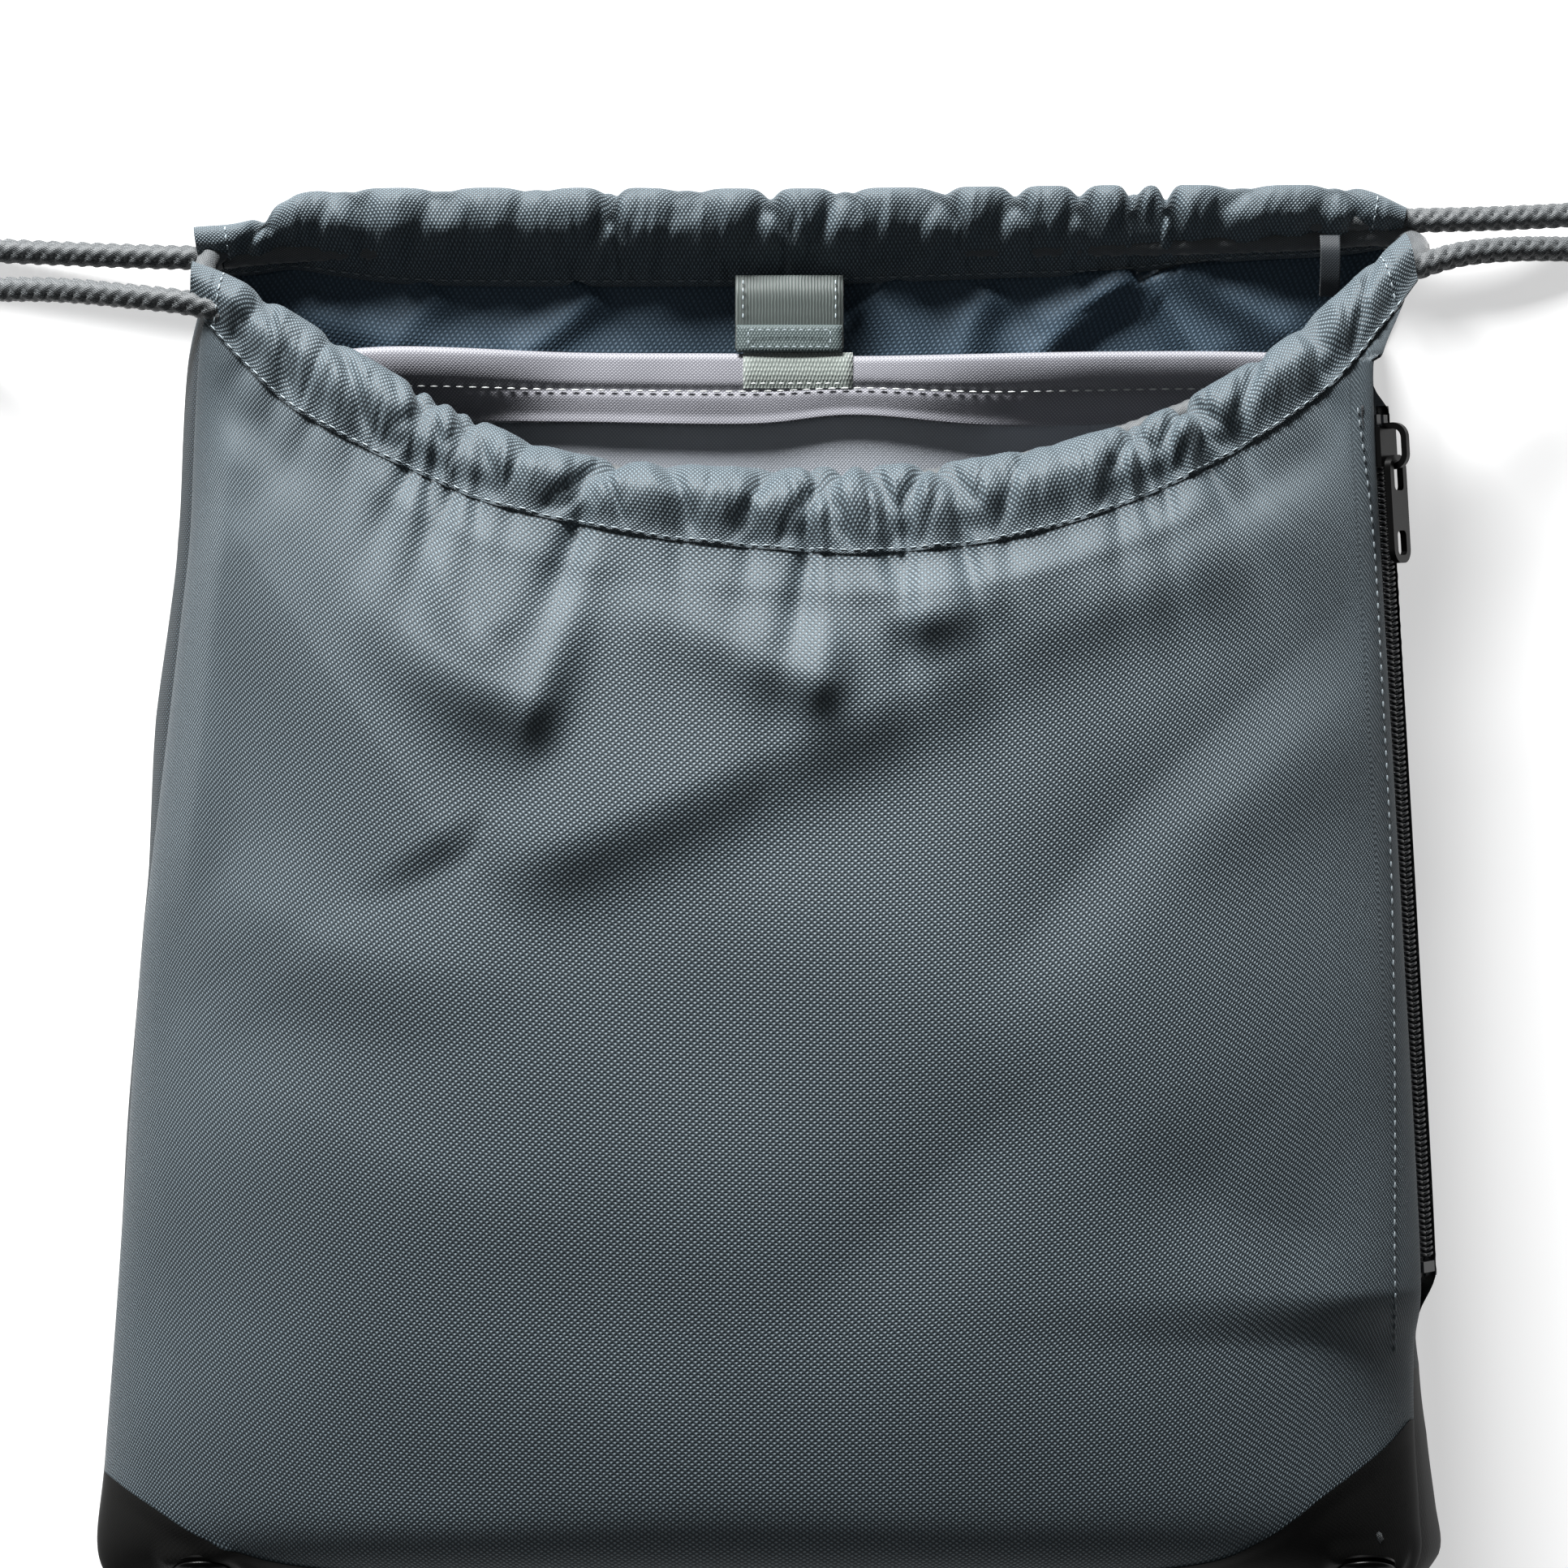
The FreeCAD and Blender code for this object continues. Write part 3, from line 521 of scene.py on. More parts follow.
# Swags: two edges that meet in a hanging tip (each line runs on past it), and the height at the tip.
SWAGS = [
    ([(-152, 119), (-132, 104), (-121, 91), (-110, 78), (-93, 65), (-69, 55), (-36, 47)], 13,
     [(-46, 118), (-54, 98), (-61, 77), (-69, 55), (-78, 30)], 8, 8.4, 32, 0.4),
    ([(-68, 101), (-52, 90), (-37, 80), (-12, 69), (9, 61), (34, 54)], 10,
     [(20, 106), (16, 92), (9, 61), (0, 38)], 8, 6.4, 22, 0.4),
    ([(116, 112), (94, 100), (77, 92), (55, 84), (35, 78), (12, 73)], 8,
     [(19, 108), (27, 95), (35, 78), (45, 56)], 7, 5.2, 17, 0.45),
]
# Gathers of the front tunnel: place across the bag, lean, width, depth, reach down the front
GATHERS = [
    (-149, 4, 2.4, 1.2, 14), (-140, -3, 3.0, 2.0, 22), (-130, 3, 2.4, 1.4, 18), (-118, -4, 3.2, 1.8, 26),
    (-103, 5, 2.4, 3.4, 26), (-97, -3, 2.0, 3.8, 22), (-91, 4, 2.2, 3.6, 24), (-84, -4, 2.4, 2.6, 26),
    (-74, 3, 3.2, 1.4, 20), (-56, 7, 3.0, 4.4, 46), (-28, -3, 3.4, 1.8, 26), (-9, 4, 3.0, 2.0, 24),
    (7, 6, 2.6, 4.2, 40), (13, -4, 2.0, 2.0, 18), (29, -4, 2.4, 3.4, 34), (34, 3, 2.0, 3.0, 22),
    (49, -5, 2.6, 4.0, 36), (62, 3, 2.8, 1.6, 20), (78, -3, 3.6, 1.0, 16), (92, 4, 2.4, 2.6, 26),
    (99, -3, 2.0, 3.2, 22), (105, 3, 2.0, 3.4, 22), (117, -5, 2.4, 4.2, 30), (127, 3, 2.6, 2.6, 24),
    (148, -3, 3.2, 2.0, 22), (160, 3, 2.4, 1.4, 12),
]
BACK_GATHERS = [
    (-151, 3, 2.6, 2.4), (-143, -2, 3.0, 2.0), (-131, 3, 4.2, 1.2), (-118, -2, 4.0, 1.4), (-103, 3, 4.6, 1.4),
    (-89, -3, 4.4, 1.2), (-76, 2, 4.0, 1.4), (-62, -3, 4.2, 1.2), (-53, 4, 2.4, 3.0), (-46, -3, 3.0, 2.2),
    (-33, 2, 4.2, 1.2), (-19, -3, 4.0, 1.6), (-9, 3, 3.2, 2.2), (1, -3, 2.8, 2.6), (10, 3, 3.0, 2.2),
    (24, -3, 3.4, 2.0), (38, 3, 4.6, 1.4), (50, -3, 3.0, 2.4), (60, 3, 3.0, 2.2), (70, -3, 3.0, 2.4),
    (79, 3, 2.8, 2.4), (87, -3, 3.0, 2.4), (95, 3, 2.2, 3.4), (100, -2, 2.0, 3.8), (105, 2, 2.0, 3.8),
    (110, -2, 2.2, 3.2), (121, 3, 4.4, 1.6), (136, -3, 4.6, 1.4), (150, 2, 4.0, 1.6), (161, -2, 3.0, 1.8),
]


def fold_heights(x, y, folds):
    """Height of all the folds at a place; ridges that meet share a crest."""
    crest = np.zeros_like(x)
    hollows = np.zeros_like(x)
    for points, height, near, far, hollow, (fade_in, fade_out) in folds:
        d, way = along_line(x, y, points)
        steep = np.where(d > 0, np.exp(-(np.abs(d) / near) ** 1.35), np.exp(-(d / far) ** 2))
        dip = np.where(d > 0, 0, hollow * (np.exp(-(d / far) ** 2) - np.exp(-(d / (far * 3.5)) ** 2)))
        ends = smooth(0, fade_in, way) * smooth(0, fade_out, 1 - way)
        crest += np.clip(height * steep, 0, None) ** 2.5 * ends ** 2.5
        hollows += (height * dip + np.clip(height * steep, None, 0)) * ends
    return crest ** 0.4 + hollows


def swag_heights(x, y):
    """Cloth hung between two edges that meet: it swells towards the tip and drops off beyond both edges."""
    rise = np.zeros_like(x)
    for low, low_far, upright, upright_far, height, near, fade in SWAGS:
        from_low, way = along_line(x, y, low)
        from_upright, _ = along_line(x, y, upright)
        parts = []
        for d, far, reach in ((from_low, low_far, near), (from_upright, upright_far, near * 1.5)):
            parts.append(np.where(d > 0, np.exp(-(np.abs(d) / reach) ** 1.3), np.exp(-(d / far) ** 2)))
        rise += height * parts[0] * parts[1] * smooth(0, fade, way)
        hollow = np.where(from_low < 0, np.exp(-((from_low + 2.4 * low_far) / (1.5 * low_far)) ** 2), 0)
        inside = np.where(from_upright > 0, 1, np.exp(-(from_upright / 12) ** 2))
        rise -= 0.08 * height * hollow * inside * smooth(0.2, fade + 0.2, way)
    return rise


def gather_depth(x, below):
    """Depth of the gathers' furrows that run on below the seam."""
    depth = np.zeros_like(x)
    for place, lean, width, deep, reach in GATHERS:
        wider = width * (1 + below / 26)
        d = x - place - (place - 5) * 0.0022 * below + lean * 0.03 * below
        depth += deep * 0.95 * np.exp(-(d / wider) ** 2) * np.exp(-(below / reach) ** 1.3)
    return depth


def ripples(x, y, size, seed):
    """Slow uneven swell, the same on every run."""
    rng = random.Random(seed)
    total = np.zeros_like(x)
    for _ in range(7):
        a = rng.uniform(0, 2 * math.pi)
        k = 2 * math.pi / (size * rng.uniform(0.7, 1.5))
        total += np.sin((x * math.cos(a) + y * math.sin(a)) * k + rng.uniform(0, 6.28))
    return total / 7


def crown(u):
    """The front's height across, as a share of its middle: flat, then down at both edges."""
    return (1 - np.abs(u) ** 3.0) ** 0.6


def form_point(u, run):
    """Point of the front and end: u from -1 at the left edge to 1 at the right, run along the profile."""
    y = np.interp(run, profile_run, profile[:, 0])
    z = np.interp(run, profile_run, profile[:, 1])
    left, right = front_edges(y)
    x = left + (right - left) * (u + 1) / 2
    zip_part = smooth(-124, -108, y)
    edge_z = np.where(u < 0, EDGE_LEFT_Z, EDGE_LEFT_Z + (EDGE_RIGHT_Z - EDGE_LEFT_Z) * zip_part)
    z = np.where(z > edge_z, edge_z + (z - edge_z) * crown(u), z)
    return x, y, z


FACE_SLOPE = 0.4045           # the eyelet's flat face leans back this much per mm of height
EYELET_SEATS = [(-161.0, -186.0, 44.1), (161.0, -186.0, 44.1)]


def front_surface(u, run):
    x, y, z = form_point(u, run)
    seam_y = bend_of(SEAM, x)
    below = np.clip(seam_y - y, 0, None)
    edge = smooth(0, 0.07, 1 - np.abs(u))
    rise = (fold_heights(x, y, FRONT_FOLDS) + swag_heights(x, y)) * smooth(0, 12, below)
    rise = rise + 0.9 * ripples(x, y, 95, 4) * smooth(0, 30, below)
    rise = rise - 2.2 * np.exp(-((below - 15) / 9) ** 2) * (0.6 + 0.8 * ripples(x, y, 60, 9))
    rise = rise * smooth(-190, -160, y)
    z = z + (rise - gather_depth(x, below)) * edge * np.where(z > 30, 1, 0)
    for cx, cy, cz in EYELET_SEATS:
        near = (1 - smooth(9.5, 14, np.hypot(x - cx, z - cz))) * (1 - smooth(-182, -177, y))
        y = y + (cy + FACE_SLOPE * (z - cz) - y) * near
    return np.stack([x, y, z], axis=1)


def spread(u):
    """More rows near both edges, where the cloth turns down."""
    return np.sin((u - 0.5) * math.pi * 0.96) / math.sin(math.pi * 0.48)


LOW_Y = -170                  # where the front is read off to find its lower corners


def front_place(u, v):
    w = spread(u)
    x_guess = -170 + 340 * (w + 1) / 2
    for _ in range(4):
        seam_y = bend_of(SEAM, x_guess)
        left, right = front_edges(seam_y)
        x_guess = left + (right - left) * (w + 1) / 2
    low_x = form_point(w, run_at(np.full_like(w, LOW_Y)))[0]
    top = run_at(bend_of(SEAM, x_guess))
    low = run_at(bend_of(BASE_EDGE, low_x))
    return front_surface(w, top + (low - top) * v)


# width and length of each cloth as it was cut, in mm
FRONT_CUT = (372, 300)
BASE_CUT = (380, 90)
SIDE_WIDTH = 45
BACK_CUT = (350, 330)
BASE_BACK_CUT = (370, 42)
DIVIDER_CUT = (350, 312)
HEM_CUT = (330, 24)
POCKET_CUT = (240, 228)


def front_flat(u, v):
    return np.stack([u * FRONT_CUT[0], (1 - v) * FRONT_CUT[1]], axis=1)


front_cloth = cloth("front_cloth", 300, 260, front_place, front_flat, SHELL, ["front_panel"])


def base_place(u, v):
    w = spread(u)
    low_x = form_point(w, run_at(np.full_like(w, LOW_Y)))[0]
    top = run_at(bend_of(BASE_EDGE, low_x))
    spots = front_surface(w, top + (profile_run[-1] - top) * v)
    spots[:, 2] += 0.5 * (1 - smooth(0, 0.06, v))
    return spots


base_cloth = cloth("base_front_cloth", 220, 70, base_place, cut_to(*BASE_CUT), COATED,
                   ["base_front"])


# ---- sides and back ----
def side_place(sign, start_y, end_y):
    """Gusset from the front's edge down to the ground, bellied outwards."""
    bulge = RIGHT_BULGE if sign > 0 else LEFT_BULGE
    start = run_at(start_y)
    end = profile_run[-1] if end_y is None else run_at(end_y)

    def place(u, v):
        run = start + (end - start) * v
        x, y, z = form_point(np.full_like(v, sign), run)
        if sign > 0:
            on_zip = smooth(-116, -104, y) * (1 - smooth(134, 142, y))
            x = x + 5.0 * on_zip * (z > 30)
            z = z - 8.4 * on_zip * (z > 30)
        swell = at(bulge, y)
        lift = z - 0.7
        down = np.sin(u * math.pi / 2)
        out = x + sign * swell * np.sin(u * math.pi) ** 0.8 - sign * 2.5 * u
        wave = 0.8 * np.sin(y / 17 + sign) * np.sin(u * math.pi)
        return np.stack([out + sign * wave, y, 0.7 + lift * (1 - down) ** 0.9], axis=1)
    return place


LEFT_SPLIT, RIGHT_SPLIT = -158.0, -131.0
for name, sign, start, end, length, material, slot, node_name in (
        ("left_side_cloth", -1, 166.0, LEFT_SPLIT, 324, SHADE_PAINTED_GUSSET, "shell_cloth", "left_side_panel"),
        ("base_left_cloth", -1, LEFT_SPLIT, None, 36, COATED, "base_cloth", "base_left_side"),
        ("right_side_cloth", 1, 160.0, RIGHT_SPLIT, 292, SHADE_PAINTED_GUSSET, "shell_cloth", "right_side_panel"),
        ("base_right_cloth", 1, RIGHT_SPLIT, None, 62, COATED, "base_cloth", "base_right_side")):
    side_cloth = cloth(name, 22, 150 if end else 50, side_place(sign, start, end),
                       cut_to(SIDE_WIDTH, length), material, [node_name])

BACK_FOLDS = [
    ([(-150, 172), (-120, 160), (-80, 152), (-20, 150)], 3.0, 14, 8, 0.3, (0.2, 0.3)),
    ([(-52, 172), (-64, 160), (-84, 146)], 4.0, 9, 7, 0.2, (0.1, 0.3)),
    ([(-96, 172), (-108, 158), (-116, 140)], 3.0, 8, 8, 0.2, (0.1, 0.3)),
    ([(24, 172), (34, 158), (38, 140)], 3.5, 10, 8, 0.2, (0.1, 0.3)),
    ([(60, 172), (52, 160), (48, 142)], 3.5, 8, 8, 0.2, (0.1, 0.3)),
    ([(100, 176), (78, 160), (62, 140)], 5.0, 10, 8, 0.3, (0.05, 0.3)),
    ([(104, 176), (112, 160), (126, 142)], 5.0, 10, 8, 0.3, (0.05, 0.3)),
    ([(110, 178), (134, 164), (152, 152)], 4.0, 9, 8, 0.3, (0.05, 0.3)),
]


BACK_SEAM = [(-164, 174.5), (-150, 175), (-139, 176.5), (-125, 174.5), (-108, 172.5), (-80, 171.8),
             (-15, 171.8), (17, 172.5), (60, 174), (90, 175), (110, 177), (130, 179), (150, 180),
             (161, 181), (173, 183)]


BACK_BASE_Y, FOLD_Y = -144, -186       # where the back's coated strip starts and turns up
BACK_Z = 1.2


def back_place(u, v):
    top = bend_of(BACK_SEAM, -162 + 332 * u) + 1.5
    y = BACK_BASE_Y + (top - BACK_BASE_Y) * v
    left = bend_of(FRONT_LEFT, y) - at(LEFT_BULGE, y) * 0.2 + 2.0
    right = bend_of(FRONT_RIGHT, y) + at(RIGHT_BULGE, y) * 0.4
    x = left + (right - left) * u
    rise = fold_heights(x, y, BACK_FOLDS)
    lift = smooth(92, 135, y) * (1.0 + np.clip(rise, -0.6, 6)) * smooth(0, 0.05, u) * smooth(0, 0.05, 1 - u)
    return np.stack([x, y, BACK_Z + lift], axis=1)


back_cloth = cloth("back_cloth", 220, 200, back_place, cut_to(*BACK_CUT), INSIDE_FACE_AND_SHADE,
                   ["back_panel"])
back_cloth.data.materials.append(SHELL)
shell_side = thicken(back_cloth, 1.1).modifiers[0]
shell_side.material_offset = 1


def base_back_place(u, v):
    y = BACK_BASE_Y + (FOLD_Y - BACK_BASE_Y) * v
    left, right = bend_of(FRONT_LEFT, y) + 2.0, bend_of(FRONT_RIGHT, y) + at(RIGHT_BULGE, y) * 0.4
    return np.stack([left + (right - left) * u, y, np.full_like(u, BACK_Z)], axis=1)


base_back = cloth("base_back_cloth", 40, 12, base_back_place, cut_to(*BASE_BACK_CUT), COATED,
                  ["base_back"])
thicken(base_back, 1.1)


# ---- drawstring tunnels ----
def front_height(x, y):
    """Height of the front cloth at its seam with the tunnel."""
    left, right = front_edges(y)
    u = np.clip(2 * (x - left) / (right - left) - 1, -1, 1)
    return front_surface(u, run_at(y))[:, 2] + 0.25


FRONT_RIM = [(-164.5, 176.5), (-152, 171.5), (-137, 162.5), (-114, 148.5), (-91.5, 136), (-61, 123),
             (-16, 118.5), (19, 119), (53, 121), (98, 132), (131, 149.5), (151, 165), (163, 176),
             (173, 184.5)]
BACK_RIM = [(-166, 188), (-152, 189.5), (-141, 195), (-126, 198.6), (-60, 199), (0, 198.8), (60, 199.4),
            (100, 199.8), (136, 199.8), (155, 199.8), (165, 198), (175, 193.5)]
FLOOR_GAP = 0.3               # mm kept between the tunnels and the ground


def tunnel(name, rim, seam, rim_z, seam_z, puff, gathers, up, stations, node_names, seed):
    """Hemmed tube between its rim and its seam, puffed out and furrowed by the gathers."""
    top = line_through(rim, 400)
    low = line_through(seam, 400)
    reach = np.linspace(0, 1, 400)
    up = np.array(up) / np.linalg.norm(up)
    rng = random.Random(seed)
    creases = []
    for place_x, lean, width, deep in gathers:
        for _ in range(int(1 + deep)):
            start = rng.uniform(-0.1, 0.5)
            creases.append((place_x + rng.uniform(-9, 9), rng.uniform(-9, 9), rng.uniform(0.8, 1.7),
                            rng.uniform(0.15, 0.34) * deep, start, start + rng.uniform(0.35, 0.8)))

    def place(u, v):
        turn = (u - 0.5) * 2 * math.pi
        across = (1 + np.cos(turn)) / 2                       # 0 at the seam, 1 at the rim
        out = np.sin(turn)
        tx, ty = np.interp(v, reach, top[:, 0]), np.interp(v, reach, top[:, 1])
        lx, ly = np.interp(v, reach, low[:, 0]), np.interp(v, reach, low[:, 1])
        ends = smooth(0, 0.045, v) * smooth(0, 0.045, 1 - v)
        x = lx + (tx - lx) * across
        y = ly + (ty - ly) * across
        z = seam_z(lx, ly) * (1 - across) + rim_z(tx, ty) * across
        furrow = np.zeros_like(x)
        scallop = np.zeros_like(x)
        for place_x, lean, width, deep in gathers:
            d = x - place_x - lean * (across - 0.5) * 3.0
            furrow += deep * 1.75 * np.exp(-np.abs(d / (width * (0.7 + 0.4 * across))) ** 1.5)
            scallop += deep * np.exp(-np.abs(d / (width * 0.8)) ** 1.6)
        fine = np.zeros_like(x)
        for place_x, lean, width, deep, start, stop in creases:
            d = x - place_x - lean * (across - 0.5)
            window = smooth(start - 0.15, start + 0.1, across) * (1 - smooth(stop - 0.1, stop + 0.15, across))
            fine += deep * np.exp(-(d / width) ** 2) * window
        crumple = 0.5 - np.abs(ripples(v * 380, across * 7, 21, seed + 3) * 1.3)
        crumple += 0.2 * (0.5 - np.abs(ripples(v * 380, across * 14, 7, seed + 4) * 1.3))
        fine -= 2.6 * crumple * ends
        plump = puff * (0.7 + 0.3 * ends) * (1 + 0.16 * ripples(x, y, 34, seed))
        swell = smooth(-0.04, 0.6, across) * np.sqrt(1 - np.clip((across - 0.5) / 0.5, 0, 1) ** 2)
        thick = plump * swell - (furrow * smooth(-0.1, 0.35, across) + fine) * np.abs(out) ** 0.5
        inner = 3.9 * np.abs(out) ** 0.7 * smooth(0.1, 0.4, across)
        hemmed = 1 - smooth(0.016, 0.022, v) * smooth(0.016, 0.022, 1 - v)
        thick = thick + 0.8 * hemmed * np.abs(out) ** 0.4
        thick = np.maximum(thick, inner + 0.3 * smooth(0, 0.1, across)) * np.sign(out)
        pull = scallop * 0.7 * smooth(0.5, 1.0, across)
        direction = np.stack([tx - lx, ty - ly], axis=1)
        direction /= np.linalg.norm(direction, axis=1)[:, None]
        spot = np.stack([x, y, z], axis=1) + up * thick[:, None]
        spot[:, :2] -= direction * pull[:, None]
        spot[:, 2] = np.maximum(spot[:, 2], FLOOR_GAP)
        return spot

    def flat(u, v):
        return np.stack([v * 380, np.abs(u - 0.5) * 64], axis=1)

    mesh = woven(name, 44, stations, place, wrap=True, flat=flat)
    return piece(name, mesh, "root", SHELL, node_names), place


def front_rim_height(x, y):
    return 54 - 0.34 * (y - 123) - 6.5


def back_rim_height(x, y):
    return 12.4 - 1.4 * (np.abs(x) / 168) ** 4


def back_seam_height(x, y):
    return np.full_like(x, 3.4)


TUNNEL_STATIONS = 900
front_tunnel, front_tunnel_place = tunnel(
    "front_tunnel_cloth", FRONT_RIM, SEAM, front_rim_height, front_height, 7.8,
    [gather[:4] for gather in GATHERS], (0, 0.32, 0.95), TUNNEL_STATIONS, ["front_tunnel"], 11)
back_tunnel, back_tunnel_place = tunnel(
    "back_tunnel_cloth", BACK_RIM, BACK_SEAM, back_rim_height, back_seam_height, 8.2,
    BACK_GATHERS, (0, 0, 1), TUNNEL_STATIONS, ["back_tunnel"], 12)

# ---- divider, loop strip, closure tab, label ----
DIVIDER_FOLD = [(-176, 148.5), (-140, 151), (-110, 154), (-60, 152.5), (-12, 152.2), (20, 151.5), (90, 152.5),
                (140, 152), (176, 148)]
DIVIDER_HEM = [(-176, 130), (-120, 133), (-60, 132.6), (-10, 132), (20, 134.6), (60, 131.8), (120, 133),
               (176, 130)]
DIVIDER_TOP = 15.0


def divider_dip(x, y):
    """How far the divider's top leans back towards its ends: lower edge down, fold up."""
    return (smooth(10, 100, x) + 0.8 * smooth(-50, -95, x)) * (12 * smooth(152, 128, y) - 5)


def divider_place(u, v):
    y = -160 + (152 + 160) * v
    half = np.interp(y, [-160, 100, 152], [180, 165, 159])
    x = (u - 0.5) * 2 * half
    y = np.minimum(y, bend_of(DIVIDER_FOLD, x) - 1.2)
    z = 7.6 + (DIVIDER_TOP - 1.6 - 7.6) * smooth(60, 150, y) + 0.5 * ripples(x, y, 70, 21)
    z = z - divider_dip(x, y)
    return np.stack([x, y, z], axis=1)


FOLD_RADIUS = 1.4
FOLD_SHARE = 0.12              # share of the hem that goes round its fold


def hem_place(u, v):
    """Folded strip: round the fold at v = 0 and down to its cut edge at v = 1."""
    x = (u - 0.5) * 2 * (165 - 6 * v)
    top, low = bend_of(DIVIDER_FOLD, x), bend_of(DIVIDER_HEM, x)
    turn = np.clip(v / FOLD_SHARE, 0, 1) * math.pi
    past_fold = (v - FOLD_SHARE) / (1 - FOLD_SHARE)
    turned = top - FOLD_RADIUS
    y = np.where(v < FOLD_SHARE, turned + FOLD_RADIUS * np.sin(turn), turned - (turned - low) * past_fold)
    swell = 0.9 * np.sin(np.clip(past_fold, 0, 1) * math.pi) * (1 + 0.5 * ripples(x, y, 38, 22))
    pinch = 0.8 * np.exp(-((y - (top + low) / 2 + 0.4) / 1.3) ** 2)
    fold_z = DIVIDER_TOP - 0.6 - FOLD_RADIUS * np.cos(turn) * (1 - 0.3 * smooth(0.06, 1, v))
    hem_z = DIVIDER_TOP - FOLD_RADIUS * np.cos(turn) - 0.4 + swell - pinch
    z = np.where(v < FOLD_SHARE, fold_z, hem_z)
    return np.stack([x, y, z - divider_dip(x, y) + 0.7 * smooth(0.85, 1.0, v)], axis=1)


divider = cloth("divider_cloth", 110, 110, divider_place, cut_to(*DIVIDER_CUT), SHADE_LIFTED_LINING,
                ["pocket_divider"])
thicken(divider, 0.7, 1.0)
hem = cloth("divider_hem", 320, 36, hem_place, cut_to(*HEM_CUT), LINING, ["pocket_divider"])
thicken(hem, 0.7, 1.0)


def strip(name, middle, route, width, material, body, thickness, node_name, bow=0.0):
    """Tape along a route of points (y, z) about a middle x, with a slightly bowed face."""
    path = line_through(route, 200)
    reach = np.linspace(0, 1, 200)

    def place(u, v):
        x = middle + (u - 0.5) * width
        y = np.interp(v, reach, path[:, 0])
        z = np.interp(v, reach, path[:, 1]) + bow * np.sin(u * math.pi)
        return np.stack([x, y, z], axis=1)

    length = float(distances(path)[-1])
    mesh = woven(name, 14, 40, place, flat=cut_to(width, length))
    return thicken(piece(name, mesh, body, material, [node_name]), thickness, 1.0)


TAB_X, TAB_WIDTH = 1.5, 30.4
LOOP_X, LOOP_WIDTH = 3.9, 30.8
LABEL_X, LABEL_WIDTH = 153.4, 5.6
strip("loop_strip", LOOP_X, [(152.4, 15.6), (150, 16.6), (146, 17.0), (142.2, 16.4)], LOOP_WIDTH,
      LOOPS, "root", 1.2, "loop_tape")
closure_tab = strip(
    "closure_tab_webbing", TAB_X, [(174.5, 9.6), (170, 12.4), (164, 13.6), (158, 14.4), (153.4, 15.6)],
    TAB_WIDTH, WEBBING, "tab", 1.1, "closure_tab", bow=0.5)
strip("tab_turned_end", TAB_X, [(160.2, 15.0), (159.4, 16.0), (156, 16.6), (153.2, 16.9), (152.4, 16.2)],
      TAB_WIDTH - 0.8, HOOKS, "tab", 1.0, "closure_tab", bow=0.5)
strip("hook_strip", TAB_X, [(161.5, 12.7), (157, 13.4), (153.6, 14.4)], TAB_WIDTH - 2,
      HOOKS, "tab", 0.9, "hook_tape")
strip("care_label_ribbon", LABEL_X, [(185.5, 13.6), (181, 15.4), (174, 14.4), (168.4, 12.0)], LABEL_WIDTH,
      LABEL, "root", 0.4, "care_label")

# ---- machine stitches ----
STITCH = 3.6


def stitches(name, line, material, body="root", pitch=STITCH, thread=0.55):
    """Row of thread stitches laid along a line of points, in mm."""
    p = np.array(line, float)
    run = distances(p)
    count = int(run[-1] / pitch)
    bm = bmesh.new()
    for i in range(count):
        ends = [np.array([np.interp((i + s) * pitch, run, p[:, k]) for k in range(3)]) for s in (0.16, 0.84)]
        step = Vector(ends[1] - ends[0])
        turn = step.to_track_quat("X", "Z").to_matrix().to_4x4()
        size = Matrix.Diagonal((step.length / 2 * MM, thread / 2 * MM, thread / 2 * MM, 1))
        middle = Vector((ends[0] + ends[1]) / 2) * MM
        bmesh.ops.create_uvsphere(bm, u_segments=6, v_segments=4, radius=1,
                                  matrix=Matrix.Translation(middle) @ turn @ size)
    return piece(name, baked(bm, name), body, material)


def on_front(points, lift=0.35, count=160):
    """Points laid on the front cloth from a line (x, y) drawn over it."""
    line = line_through(points, count)
    x, y = line[:, 0], line[:, 1]
    left, right = front_edges(y)
    u = np.clip(2 * (x - left) / (right - left) - 1, -0.999, 0.999)
    spots = front_surface(u, run_at(y))
    spots[:, 2] += lift
    return spots


def on_tunnel(place, across, ends=(0.0, 1.0), lift=0.35, count=420):
    """Points along a tunnel's upper face, at a share of the way round from its seam."""
    v = np.linspace(ends[0], ends[1], count)
    spots = place(np.full(count, across), v)
    spots[:, 2] += lift
    return spots


stitches("front_tunnel_stitches", on_tunnel(front_tunnel_place, 0.935, (0.012, 0.985)), THREAD, thread=0.45)
stitches("back_tunnel_stitches", on_tunnel(back_tunnel_place, 0.925, (0.02, 0.985), 0.6), DARK_THREAD,
         thread=0.5)
for name, place in (("front", front_tunnel_place), ("back", back_tunnel_place)):
    for side, v in (("left", 0.026), ("right", 0.974)):
        around = np.linspace(0.56, 0.93, 24)
        cuff = place(around, np.full(24, v))
        cuff[:, 2] += 0.4
        stitches(name + "_" + side + "_cuff_stitches", cuff, THREAD, pitch=3.2, thread=0.5)
hem_line = np.array([hem_place(np.array([u]), np.array([0.56]))[0] for u in np.linspace(0.08, 0.92, 200)])
stitches("divider_hem_stitches", hem_line + [0, 0, 0.75], PALE_THREAD, thread=0.6)
for side, sign in (("left", -1), ("right", 1)):
    edge_x = TAB_X + sign * (TAB_WIDTH / 2 - 2.2)
    edge = [(edge_x, 173.5, 11.8), (edge_x, 168, 14.8), (edge_x, 160.6, 15.9)]
    stitches("tab_edge_stitches_" + side, edge, THREAD, "tab", 2.6, 0.45)
BOX_LEFT, BOX_RIGHT = TAB_X - 11.5, TAB_X + 11.5
box_line = [(BOX_LEFT, 153.9, 18.3), (BOX_LEFT, 158.6, 18.0), (BOX_RIGHT, 158.6, 18.0),
            (BOX_RIGHT, 153.9, 18.3), (BOX_LEFT, 153.9, 18.3)]
